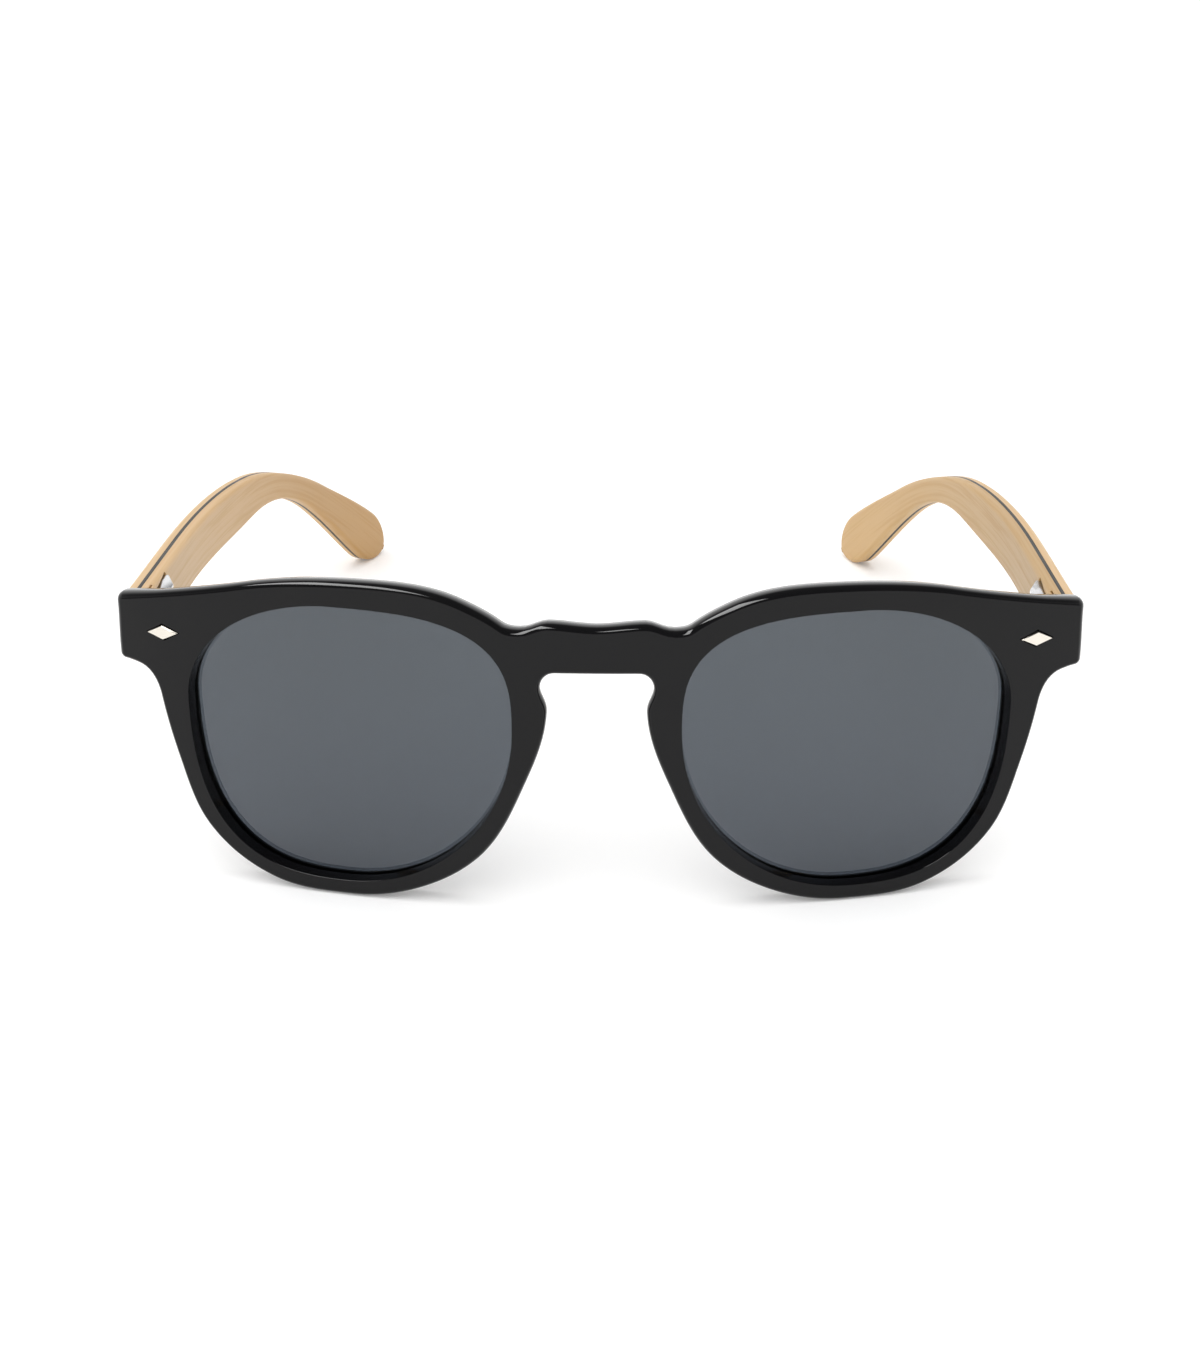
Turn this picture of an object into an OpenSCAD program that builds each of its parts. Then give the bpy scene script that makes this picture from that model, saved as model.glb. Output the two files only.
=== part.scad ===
// Round keyhole sunglasses with laminated wooden temples on flex hinges.
// X runs across the face, Y runs from the front towards the ears, Z is up.
// The glasses stand open on a table: both rims and both temple tips touch Z = 0.
// Left and right are the wearer's, so the left side is at +X. The pieces are worked
// out with the face of the bridge at Y = 0, then moved to stand round the origin.

/* [Lenses] */
// Width of each lens opening, along the curve of the front
lens_w = 50.1; // [47:0.1:54]
// Height of each lens opening
lens_h = 44.8; // [41:0.2:48]
// Gap between the two lens openings, across the nose
bridge_w = 24.8; // [22.5:0.1:28]
// Thickness of each lens
lens_t = 1.3; // [1.1:0.1:1.5]
// Depth of the lens behind the front face
lens_depth = 2.1; // [1.8:0.1:2.2]

/* [Front] */
// Thickness of the front, from face to back
front_t = 4; // [3.9:0.1:4.6]
// Radius of the front's curve round the face
front_r = 190; // [170:5:240]
// Width of the rim under the lens
rim_low_w = 2.7; // [2.3:0.1:3.6]
// Width of the rim on the temple side of the lens
rim_side_w = 3.1; // [2.6:0.1:3.8]
// Width of the rim above the lens
rim_top_w = 3.8; // [3.2:0.1:4.8]
// Width of the rim beside the nose, at its narrowest
rim_nose_w = 2.8; // [2.5:0.1:3.4]
// Reach of the end piece past the lens opening
end_reach = 11; // [10.2:0.1:12]
// Height of the end piece at its outer edge
end_h = 9.8; // [8.8:0.1:10.6]
// Height of the bridge
bridge_h = 7.2; // [5.9:0.1:7.8]
// Half width of the keyhole at its round top
keyhole_w = 8.3; // [8:0.1:9]
// Half width of the keyhole at its neck
neck_w = 7.3; // [6.9:0.1:7.6]
// Depth of the moulded nose pads behind the rims
pad_d = 2.6; // [1.5:0.1:4]

/* [Diamond rivets] */
// Length of each diamond rivet head
rivet_w = 5; // [3.6:0.1:5.2]
// Height of each diamond rivet head
rivet_h = 2.6; // [2:0.1:3]

/* [Temples] */
// Length of each temple along its outer face
temple_l = 144; // [135:1:152]
// Thickness of the temple board
temple_t = 4; // [3.8:0.1:4.4]
// Thickness of the dark middle ply
core_t = 0.6; // [0.3:0.1:0.8]
// Height of the board at the hinge
board_hinge_h = 8.2; // [7.8:0.1:8.8]
// Height of the board halfway to the ear
board_mid_h = 8.2; // [7.4:0.1:9]
// Height of the board at its narrow neck
board_neck_h = 4.8; // [4.2:0.1:6]
// Height of the paddle behind the ear
board_tip_h = 9.6; // [8.6:0.1:11]
// Radius that bows the board round the head
bow_r = 280; // [240:5:340]
// Radius of the bend over the ear
ear_r = 76; // [70:1:95]

/* [Hinges] */
// Height of the whole hinge barrel
barrel_h = 5; // [4.6:0.1:5.4]
// Radius of the hinge barrel
barrel_r = 1.5; // [1.4:0.05:1.6]
// Radius of the hinge screw
screw_r = 0.55; // [0.45:0.05:0.65]
// Travel of the flex slider out of its housing
flex_travel = 1.2; // [0.8:0.1:1.3]
// Length of the flex spring at rest
spring_l = 2.9; // [2.7:0.1:3.2]
// Turns of the flex spring
spring_turns = 6; // [4:1:6]

/* [Hidden] */
$fn = 48;

// Small values that several pieces share
eps = 0.01;
seat_gap = 0.05;
running_gap = 0.05;
deg = 180 / PI;

// Share of a radius that a round leaves at 45 degrees
round_share = 0.29;

// Edges of the front
face_round = 0.5;
back_round = 0.9;
opening_round = 0.35;
edge_draft = 0.13;
groove_d = 0.9;
groove_gap = 0.05;
lens_edge_gap = 0.25;

// Lens opening: four quarter superellipses that meet at its widest and highest points
lens_in = bridge_w / 2;
lens_out = lens_in + lens_w;
lens_low = rim_low_w - edge_draft * face_round;
lens_top = lens_low + lens_h;
nose_share = 0.527;
crown_share = 0.39;
lens_cx = lens_in + nose_share * lens_w;
lens_cz = lens_top - crown_share * lens_h;
power_top_nose = 2.9;
power_top_side = 1.95;
power_low_nose = 2.05;
power_low_side = 2.65;

// Bridge and end piece
end_out = lens_out + end_reach;
end_top = lens_top - 3;
end_low = end_top - end_h;
bridge_top = lens_top - 1.6;
bridge_low = bridge_top - bridge_h;
shoulder_w = 7.1;
shoulder_rise = 0.5;
dip_w = lens_in - 1.1;
dip_drop = 0.6;
rib_step = 2.7;
rib_turn = 18;
seam_ribs = 3;
edge_cells = 6;

// Nose pads
pad_splay = 0.45;
pad_from = -138;
pad_to = -199.5;

// Hinge, with its axis upright behind the end piece
axis_back = 2.7;
board_out = front_r * sin(end_out / front_r * deg) - 0.1;
board_in = board_out - temple_t;
axis_in = 2.4;
axis_x = board_in - axis_in;
axis_turn = asin(axis_x / (front_r - front_t - axis_back));
axis_y = front_r - (front_r - front_t - axis_back) * cos(axis_turn);
hinge_z = (end_top + end_low) / 2 + 0.6;
knuckle_gap = 0.1;
mid_knuckle_h = barrel_h * 0.38;
bore_r = screw_r + running_gap;
head_r = 1.05;
head_h = 0.5;
slot_w = 0.25;
slot_d = 0.25;

// Leaf on the back of the end piece
leaf_t = 0.5;
leaf_in = 5;
leaf_out = 1.2;
leaf_lift = leaf_in ^ 2 / (2 * (front_r - front_t)) + seat_gap;
anchor_in = 4.6;
anchor_out = 0.4;
anchor_h = 4;
anchor_d = 1.2;

// Flex housing, slider and spring, measured from the hinge axis
slide_x = 2.65;
housing_proud = 1.9;
housing_sunk = 1.45;
housing_from = barrel_r + 0.25;
housing_h = 4;
block_w = 1.3;
block_h = mid_knuckle_h - 2 * seat_gap;
block_to = 4.1;
arm_from = 0.5;
cavity_to = block_to + flex_travel + 0.1;
wall_t = 0.6;
rod_r = 0.4;
wire_r = 0.11;
coil_r = rod_r + wire_r + 0.12;
chamber_r = coil_r + wire_r + 0.06;
spring_from = cavity_to + wall_t;
cap_from = spring_from + spring_l;
cap_t = 0.45;
rod_to = cap_from + cap_t + 0.1;
chamber_to = rod_to + 0.3;
ramp_from = 7;
ramp_proud = 0.4;
housing_tail = 1.2;
housing_to = chamber_to + housing_tail;

// Temple board: outer ply, dark core and inner ply
outer_t = 1.6;
board_round = 0.9;
butt_gap = 0.3;
bow_from = 30;
ear_from = 0.51;
ear_to = 0.765;
tail_r = 300;
tip_round = 0.8;
board_steps = 30;
tip_steps = 7;
board_y = board_start(board_out);
board_z = hinge_z - 0.4;

// Smooth curves through stations

// Hermite blend between two values with given slopes, t from 0 to 1
function blend(p, q, mp, mq, t) =
    (2 * t ^ 3 - 3 * t ^ 2 + 1) * p + (t ^ 3 - 2 * t ^ 2 + t) * mp
    + (3 * t ^ 2 - 2 * t ^ 3) * q + (t ^ 3 - t ^ 2) * mq;

// Direction of travel of the same blend at t
function blend_travel(p, q, mp, mq, t) =
    6 * (t - t ^ 2) * (q - p) + (3 * t ^ 2 - 4 * t + 1) * mp + (3 * t ^ 2 - 2 * t) * mq;

// Direction of a heading in degrees
function toward(heading) = [cos(heading), sin(heading)];

// Speed that makes a Hermite piece follow an arc between two headings
function arc_speed(p, q, turn) = norm(q - p) / cos(turn / 4) ^ 2;

// Number of ribs between two stations
function ribs_between(s, e) =
    max(2, ceil(norm([e[0] - s[0], e[1] - s[1]]) / rib_step), ceil(abs(e[2] - s[2]) / rib_turn));

// Value at x on a smooth line through [x, value] stations
function smooth_at(stations, x, i = 0) =
    x > stations[i + 1][0] && i < len(stations) - 2 ? smooth_at(stations, x, i + 1) :
    let (a = stations[i], b = stations[i + 1], w = b[0] - a[0])
    blend(a[1], b[1], station_slope(stations, i) * w, station_slope(stations, i + 1) * w, (x - a[0]) / w);

function station_slope(stations, i) =
    let (a = stations[max(i - 1, 0)], b = stations[min(i + 1, len(stations) - 1)])
    (b[1] - a[1]) / (b[0] - a[0]);

// Lens opening in the flat plane of the front: x along the curve, z up

// Radius of a quarter superellipse in the direction [c, s]
function quarter(c, s, w, h, power) = (abs(c / w) ^ power + abs(s / h) ^ power) ^ (-1 / power);

// Point of the lens opening at an angle from the temple side, anticlockwise
function lens_point(angle) =
    let (
        c = cos(angle), s = sin(angle),
        w = c > 0 ? lens_out - lens_cx : lens_cx - lens_in,
        h = s > 0 ? lens_top - lens_cz : lens_cz - lens_low,
        power = s > 0 ? (c > 0 ? power_top_side : power_top_nose)
                      : (c > 0 ? power_low_side : power_low_nose),
        reach = quarter(c, s, w, h, power)
    )
    [lens_cx + c * reach, lens_cz + s * reach];

// Unit normal of the lens opening, pointing into the frame
function lens_normal(angle) =
    let (d = lens_point(angle + 0.5) - lens_point(angle - 0.5))
    [d[1], -d[0]] / norm(d);

// Outline of one half of the front: stations [x, z, heading, lens angle], clockwise
// from the top of the bridge over the brow, end piece, rim and keyhole
function in_box(fx, fz) = [lens_in + fx * lens_w, lens_low + fz * lens_h];

function station(p, dx, dz, heading, angle) = [p[0] + dx, p[1] + dz, heading, angle];

STATIONS = [
    station([0, bridge_top], 0, 0, 0, 156),
    station([shoulder_w, bridge_top + shoulder_rise], 0, 0, 0, 152),
    station([dip_w, bridge_top - dip_drop], 0, 0, 0, 148),
    station(in_box(0.025, 1), 0, rim_top_w - 5.5, 37, 143),
    station(in_box(0.142, 1), 0, rim_top_w - 2.25, 24, 132),
    station(in_box(0.461, 1), 0, rim_top_w, -1, 98),
    station(in_box(0.811, 1), 0, rim_top_w - 2, -13.5, 55),
    station([end_out, end_top], -0.9, 0.7, -11, 26),
    station([end_out, end_top], 0.15, -0.5, -90, 22),
    station([end_out, end_low], 0.4, 1, -91, 12),
    station([end_out, end_low], -0.6, 0, -177, 10),
    station([end_out, end_low], -2.8, -0.4, -166, 8),
    station([lens_out, end_low], rim_side_w + 1.9, -5, -99, 1),
    station(in_box(1, 0.385), rim_side_w - 0.3, 0, -106, -21),
    station(in_box(0.958, 0.14), 0.8 * rim_side_w - 1.9, 0, -127, -44),
    station(in_box(0.75, -0.033), 0, 0, -161, -69),
    station(in_box(0.507, 0), 0, -rim_low_w, -180, -92),
    station(in_box(0.314, -0.02), 0, 0, -200, -110),
    station(in_box(0.108, 0.12), 2.8 - rim_nose_w, 0, -225, -133),
    station(in_box(-0.036, 0.405), 2.8 - rim_nose_w, 0, -247, -162),
    station([neck_w, bridge_low], 0, -6.1, -268, -185),
    station([keyhole_w, bridge_low], 0, -2.5, -270, -194),
    station([keyhole_w, bridge_low], -2.2, 0, -180, -199),
    station([0, bridge_low], 0, 0, -180, -199.8)
];

// Ribs of the outline: [point, normal into the frame, lens angle]
function piece_rib(s, e, t) =
    let (
        p = [s[0], s[1]], q = [e[0], e[1]],
        speed = arc_speed(p, q, e[2] - s[2]),
        mp = speed * toward(s[2]), mq = speed * toward(e[2]),
        d = blend_travel(p, q, mp, mq, t)
    )
    [blend(p, q, mp, mq, t), [d[1], -d[0]] / norm(d), s[3] + (e[3] - s[3]) * t];

OUTLINE = [
    for (i = [0 : len(STATIONS) - 2])
        let (n = ribs_between(STATIONS[i], STATIONS[i + 1]))
        for (j = [0 : n - 1]) piece_rib(STATIONS[i], STATIONS[i + 1], j / n),
    piece_rib(STATIONS[len(STATIONS) - 2], STATIONS[len(STATIONS) - 1], 1)
];

// Ribs along the middle of the bridge, where the two halves meet
SEAM = [
    for (j = [1 : seam_ribs])
        let (t = j / (seam_ribs + 1))
        [[0, bridge_low + bridge_h * t], [1, 0], -199.8 - 4.2 * t]
];
RIBS = concat(OUTLINE, SEAM);

// Extra depth of the nose pad at a lens angle
function pad_depth(angle) =
    angle < pad_from && angle > pad_to ?
    pad_d * sin((angle - pad_from) / (pad_to - pad_from) * 180) ^ 2 : 0;

// How far the end piece's outer wall leans out, so that it stands square to the face
function end_lean(x) =
    (tan(x / front_r * deg) + edge_draft) * min(max((x - lens_out - 5) / 4, 0), 1);

// Edge of the front at a rib, set in by inset at depth y
function outer_at(rib, inset, y) =
    let (
        pad = pad_depth(rib[2]),
        splay = pad > 0 ? pad_splay * max(y - front_t / 2, 0) * pad / pad_d : 0,
        p = rib[0] + rib[1] * (inset + splay + edge_draft * y)
    )
    [p[0] + end_lean(rib[0][0]) * y, p[1], y];

// The lens opening at a rib, cut back by inset at depth y
function inner_at(rib, inset, y) =
    let (p = lens_point(rib[2]) + lens_normal(rib[2]) * inset)
    [p[0], p[1], y];

// A seam rib keeps its place in the middle and is set in only up and down
function seam_point(rib, inset, y) =
    let (t = (rib[0][1] - bridge_low) / bridge_h)
    [0, bridge_low + inset + edge_draft * y + (bridge_h - 2 * (inset + edge_draft * y)) * t, y];

// Bend a flat [x, z, depth] point onto the curve of the front
function bend(p) =
    let (turn = p[0] / front_r * deg)
    [(front_r - p[2]) * sin(turn), front_r - (front_r - p[2]) * cos(turn), p[1]];

// Section of the front at a rib: round the lens opening, across the back,
// over the outer edge and back across the face
groove_from = lens_depth - groove_gap;
groove_to = lens_depth + lens_t + groove_gap;

function opening_section(rib) = [
    inner_at(rib, opening_round, 0),
    inner_at(rib, opening_round * round_share, opening_round * round_share),
    inner_at(rib, 0, opening_round),
    inner_at(rib, 0, groove_from),
    inner_at(rib, groove_d, groove_from),
    inner_at(rib, groove_d, groove_to),
    inner_at(rib, 0, groove_to),
    inner_at(rib, 0, front_t - opening_round),
    inner_at(rib, opening_round * round_share, front_t - opening_round * round_share),
    inner_at(rib, opening_round, front_t)
];

function edge_section(rib, seam) =
    let (back = front_t + pad_depth(rib[2]))
    seam ? [
        seam_point(rib, back_round, front_t),
        for (k = [1 : edge_cells - 1])
            seam_point(rib, face_round, front_t * (1 - k / edge_cells)),
        seam_point(rib, face_round, 0)
    ] : [
        outer_at(rib, back_round, back),
        outer_at(rib, back_round * round_share, back - back_round * round_share),
        outer_at(rib, 0, back - back_round),
        outer_at(rib, 0, (back - back_round + face_round) / 2),
        outer_at(rib, 0, face_round),
        outer_at(rib, face_round * round_share, face_round * round_share),
        outer_at(rib, face_round, 0)
    ];

function rib_section(rib, seam) =
    let (
        opening = opening_section(rib),
        edge = edge_section(rib, seam),
        from = opening[len(opening) - 1], to = edge[0],
        back = edge[len(edge) - 1], start = opening[0]
    )
    concat(
        opening,
        [for (t = [0.33, 0.67]) from + (to - from) * t],
        edge,
        [for (t = [0.33, 0.67]) back + (start - back) * t]
    );

opening_points = 10;
edge_first = opening_points + 2;
edge_last = edge_first + edge_cells;
section_points = edge_last + 3;

// Closed skin of one half, left open where it meets the other half
HALF_POINTS = [
    for (i = [0 : len(RIBS) - 1])
        for (p = rib_section(RIBS[i], i >= len(OUTLINE))) bend(p)
];

function mirrored(points) = [for (p = points) [-p[0], p[1], p[2]]];

function is_seam_cell(i, k) = i >= len(OUTLINE) - 1 && k >= edge_first && k < edge_last;

HALF_FACES = [
    for (i = [0 : len(RIBS) - 1])
        for (k = [0 : section_points - 1])
            if (!is_seam_cell(i, k))
                let (
                    a = i * section_points, b = (i + 1) % len(RIBS) * section_points,
                    n = (k + 1) % section_points
                )
                each [[a + k, b + k, b + n], [a + k, b + n, a + n]]
];

module front_shell() {
    count = len(HALF_POINTS);
    polyhedron(
        points = concat(HALF_POINTS, mirrored(HALF_POINTS)),
        faces = concat(
            HALF_FACES,
            [for (f = HALF_FACES) [f[0] + count, f[2] + count, f[1] + count]]
        )
    );
}

// Place a piece on the front: its x = 0 stands at arc length x along the curve
module on_front(x) {
    translate([0, front_r, 0])
        rotate([0, 0, x / front_r * deg])
            translate([0, -front_r, 0])
                children();
}

// Both sides of a pair
module both_sides() {
    children();
    mirror([1, 0, 0]) children();
}

axis_arc = axis_turn / deg * front_r;
rivet_x = lens_out + 3.4;
rivet_z = hinge_z + 0.1;
rivet_proud = 0.3;
rivet_sunk = 0.8;
rivet_bevel = 0.4;

// Diamond outline, standing on the face of the front
module diamond(w, h) {
    rotate([90, 0, 0])
        linear_extrude(eps)
            polygon([[-w / 2, 0], [0, h / 2], [w / 2, 0], [0, -h / 2]]);
}

module diamond_block(y_from, y_to, grow) {
    hull() {
        translate([0, y_from + eps, 0]) diamond(rivet_w + grow, rivet_h + grow);
        translate([0, y_to, 0]) diamond(rivet_w + grow, rivet_h + grow);
    }
}

module front_frame() {
    color([0.13, 0.13, 0.14])
        difference() {
            front_shell();
            both_sides() {
                on_front(rivet_x)
                    translate([0, 0, rivet_z])
                        diamond_block(-1, rivet_sunk, 2 * seat_gap);
                on_front(axis_arc)
                    translate([-anchor_in - seat_gap, front_t - anchor_d - seat_gap,
                               hinge_z - anchor_h / 2 - seat_gap])
                        cube([anchor_in - anchor_out + 2 * seat_gap, anchor_d + 1,
                              anchor_h + 2 * seat_gap]);
            }
        }
}

// Lens: a slice of the front's own curve, cut square by its outline
lens_turn = lens_cx / front_r * deg;
lens_mid_r = front_r - lens_depth - lens_t / 2;
lens_steps = 96;
lens_sweep = 24;

function lens_edge(angle) =
    let (p = lens_point(angle) + lens_normal(angle) * (groove_d - lens_edge_gap))
    [lens_mid_r * sin((p[0] - lens_cx) / front_r * deg), p[1]];

module lens() {
    color([0.36, 0.38, 0.4])
        intersection() {
            translate([0, front_r, 0])
                difference() {
                    cylinder(h = lens_top + groove_d, r = front_r - lens_depth, $fn = 360);
                    translate([0, 0, -eps])
                        cylinder(h = lens_top + groove_d + 1, r = front_r - lens_depth - lens_t,
                                 $fn = 360);
                }
            translate([0, front_r, 0])
                rotate([0, 0, lens_turn])
                    translate([0, -lens_mid_r + lens_sweep / 2, 0])
                        rotate([90, 0, 0])
                            linear_extrude(lens_sweep)
                                polygon([for (i = [0 : lens_steps - 1])
                                    lens_edge(i * 360 / lens_steps)]);
        }
}

module diamond_rivet() {
    color([0.86, 0.84, 0.8])
        on_front(rivet_x)
            translate([0, 0, rivet_z]) {
                diamond_block(0, rivet_sunk - seat_gap, 0);
                hull() {
                    translate([0, eps, 0]) diamond(rivet_w, rivet_h);
                    translate([0, -rivet_proud, 0])
                        diamond(rivet_w - rivet_bevel, rivet_h - rivet_bevel);
                }
            }
}

// Leaf with the two outer knuckles, standing on the back of the end piece
module leaf_knuckles() {
    lug_h = (barrel_h - mid_knuckle_h) / 2 - knuckle_gap;
    lug_w = 1.6 * barrel_r;
    for (z = [hinge_z - barrel_h / 2, hinge_z + barrel_h / 2 - lug_h])
        translate([0, 0, z]) {
            translate([0, front_t + axis_back, 0]) cylinder(h = lug_h, r = barrel_r);
            translate([-barrel_r, front_t + leaf_t / 2, 0])
                cube([lug_w, axis_back - leaf_t / 2, lug_h]);
        }
}

module hinge_leaf() {
    color([0.75, 0.76, 0.78])
        on_front(axis_arc)
            difference() {
                union() {
                    translate([-leaf_in, front_t + leaf_lift, hinge_z - barrel_h / 2])
                        cube([leaf_in + leaf_out, leaf_t, barrel_h]);
                    translate([-anchor_in, front_t - anchor_d, hinge_z - anchor_h / 2])
                        cube([anchor_in - anchor_out, anchor_d + leaf_t, anchor_h]);
                    leaf_knuckles();
                }
                translate([0, front_t + axis_back, hinge_z - barrel_h])
                    cylinder(h = 2 * barrel_h, r = bore_r);
            }
}

module hinge_screw() {
    top = hinge_z + barrel_h / 2 + seat_gap / 2;
    color([0.7, 0.71, 0.73])
        translate([axis_x, axis_y, 0])
            difference() {
                union() {
                    translate([0, 0, hinge_z - barrel_h / 2]) cylinder(h = barrel_h, r = screw_r);
                    translate([0, 0, top - seat_gap]) cylinder(h = seat_gap * 2, r = screw_r);
                    translate([0, 0, top]) cylinder(h = head_h, r = head_r);
                }
                translate([-head_r - eps, -slot_w / 2, top + head_h - slot_d])
                    cube([2 * head_r + 2 * eps, slot_w, slot_d + eps]);
            }
}

// Slider with the middle knuckle, its block and the rod that carries the spring
module flex_slider() {
    low = hinge_z - block_h / 2;
    color([0.72, 0.73, 0.75])
        translate([axis_x, axis_y, 0])
            difference() {
                union() {
                    translate([0, 0, low]) cylinder(h = block_h, r = barrel_r);
                    translate([0, 0, low])
                        linear_extrude(block_h)
                            polygon([[0, -barrel_r], [slide_x + block_w / 2, arm_from],
                                     [slide_x + block_w / 2, housing_from - seat_gap],
                                     [slide_x - block_w / 2, housing_from - seat_gap],
                                     [0, barrel_r]]);
                    translate([slide_x - block_w / 2, arm_from + block_w / 2, low])
                        cube([block_w, block_to - arm_from - block_w / 2, block_h]);
                    translate([slide_x, block_to - eps, hinge_z])
                        rotate([-90, 0, 0]) cylinder(h = rod_to - block_to + eps, r = rod_r);
                }
                translate([0, 0, low - 1]) cylinder(h = block_h + 2, r = bore_r);
            }
}

module spring_cap() {
    color([0.6, 0.6, 0.62])
        translate([axis_x + slide_x, axis_y + cap_from, hinge_z])
            rotate([-90, 0, 0])
                difference() {
                    cylinder(h = cap_t, r = coil_r + wire_r);
                    translate([0, 0, -eps]) cylinder(h = cap_t + 2 * eps, r = rod_r + eps);
                }
}

// Coil spring: one unbroken six-sided wire swept along a helix
spring_steps = 8;
spring_sides = 6;
spring_pitch = (spring_l - 2 * wire_r - 2 * eps) / spring_turns;

function coil_point(i) =
    let (a = i * 360 / spring_steps)
    [coil_r * cos(a), wire_r + eps + spring_pitch * i / spring_steps, coil_r * sin(a)];

function coil_ring(i) =
    let (a = i * 360 / spring_steps, c = coil_point(i))
    [for (k = [0 : spring_sides - 1])
        let (b = k * 360 / spring_sides)
        c + wire_r * cos(b) * [cos(a), 0, sin(a)] + wire_r * sin(b) * [0, 1, 0]];

module flex_spring() {
    rings = spring_turns * spring_steps;
    points = [for (i = [0 : rings]) each coil_ring(i)];
    faces = [
        [for (k = [0 : spring_sides - 1]) k],
        for (i = [0 : rings - 1])
            for (k = [0 : spring_sides - 1])
                let (a = i * spring_sides, b = a + spring_sides, n = (k + 1) % spring_sides)
                each [[a + k, b + n, a + n], [a + k, b + k, b + n]],
        [for (k = [spring_sides - 1 : -1 : 0]) rings * spring_sides + k]
    ];
    color([0.66, 0.67, 0.7])
        translate([axis_x + slide_x, axis_y + spring_from, hinge_z])
            polyhedron(points = points, faces = faces);
}

// Housing let into the inner face of the board, with a ramp down to the wood at its end
module flex_housing() {
    color([0.78, 0.78, 0.8])
        translate([axis_x, axis_y, hinge_z])
            difference() {
                translate([0, 0, -housing_h / 2])
                    linear_extrude(housing_h)
                        polygon([[axis_in - housing_proud, housing_from],
                                 [axis_in - housing_proud, ramp_from],
                                 [axis_in - ramp_proud, housing_to],
                                 [axis_in + housing_sunk, housing_to],
                                 [axis_in + housing_sunk, housing_from]]);
                translate([slide_x - block_w / 2 - running_gap, 0, -mid_knuckle_h / 2])
                    cube([block_w + 2 * running_gap, cavity_to, mid_knuckle_h]);
                translate([slide_x, 0, 0])
                    rotate([-90, 0, 0]) {
                        cylinder(h = spring_from + eps, r = rod_r + running_gap);
                        translate([0, 0, spring_from]) cylinder(h = chamber_to - spring_from,
                                                                r = chamber_r);
                    }
            }
}

// Temple board

// Where the board's front end starts behind the end piece, at x across
function board_start(x) = front_r - sqrt((front_r - front_t - butt_gap) ^ 2 - x ^ 2);

BOARD_HEIGHTS = [
    [0, board_hinge_h],
    [0.22 * temple_l, board_mid_h + 0.2],
    [0.44 * temple_l, board_mid_h],
    [0.635 * temple_l, board_neck_h],
    [0.77 * temple_l, board_neck_h + 1],
    [0.92 * temple_l, board_tip_h - 0.3],
    [temple_l, board_tip_h + 0.4]
];

// Height of the board at distance u from the hinge end, rounded off at the tip
function board_height(u) =
    let (
        h = smooth_at(BOARD_HEIGHTS, u),
        e = min((temple_l - u) / (BOARD_HEIGHTS[6][1] * tip_round), 1)
    )
    h * sqrt(max(1 - (1 - e) ^ 2, 0.02));

// Downward angle of the board at u, beyond its slope at the hinge
function ear_turn(u) =
    let (u1 = ear_from * temple_l, u2 = ear_to * temple_l)
    (min(max(u - u1, 0), u2 - u1) / ear_r + max(u - u2, 0) / tail_r) * deg;

// Distances of the board's sections from the hinge end, closer together at the tip
tip_zone = BOARD_HEIGHTS[6][1] * tip_round;
BOARD_U = concat(
    [for (i = [0 : board_steps - 1]) (temple_l - tip_zone) * i / board_steps],
    [for (i = [0 : tip_steps]) temple_l - tip_zone + tip_zone * sin(90 * i / tip_steps)]
);

// Middle line of the board seen from the side, as [along, up] points
function side_path(slope) = [
    for (
        i = 0, p = [0, 0];
        i < len(BOARD_U);
        i = i + 1,
        p = i < len(BOARD_U) ?
            let (
                u0 = BOARD_U[i - 1], u1 = BOARD_U[i],
                down = slope + ear_turn((u0 + u1) / 2)
            )
            p + (u1 - u0) * [cos(down), -sin(down)] : p
    ) p
];

// Lowest point of the board when it leaves the hinge at a slope
function board_low(slope) =
    let (path = side_path(slope))
    min([for (i = [0 : len(path) - 1])
        path[i][1] - board_height(BOARD_U[i]) / 2 * cos(slope + ear_turn(BOARD_U[i]))]);

// Slope at which the tips touch the table
function seated_slope(slope, rounds) =
    rounds == 0 ? slope :
    seated_slope(slope + (board_z + board_low(slope)) / temple_l * deg, rounds - 1);

board_slope = seated_slope(5, 8);
SIDE_PATH = side_path(board_slope);

// Point of the board: n outward from its outer face, h up from its middle line
function board_point(i, n, h) =
    let (
        down = board_slope + ear_turn(BOARD_U[i]),
        along = i == 0 ? board_start(board_out + n) - board_y : SIDE_PATH[i][0] + h * sin(down),
        up = i == 0 ? h : SIDE_PATH[i][1] + h * cos(down),
        turn = max(along - bow_from, 0) / bow_r * deg,
        straight = min(along, bow_from)
    )
    [
        board_out - bow_r * (1 - cos(turn)) + n * cos(turn),
        board_y + straight + bow_r * sin(turn) + n * sin(turn),
        board_z + up
    ];

// Section of a ply between two depths, its edges rounded at the outer or inner face
function ply_section(n_from, n_to, h, round_from, round_to) =
    let (r = min(board_round, h * 0.3), k = round_share * r, m = h / 2)
    concat(
        round_to ?
            [[n_to - r, -m], [n_to - k, k - m], [n_to, r - m],
             [n_to, m - r], [n_to - k, m - k], [n_to - r, m]] :
            [[n_to, -m], [n_to, m]],
        round_from ?
            [[n_from + r, m], [n_from + k, m - k], [n_from, m - r],
             [n_from, r - m], [n_from + k, k - m], [n_from + r, -m]] :
            [[n_from, m], [n_from, -m]]
    );

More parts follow.
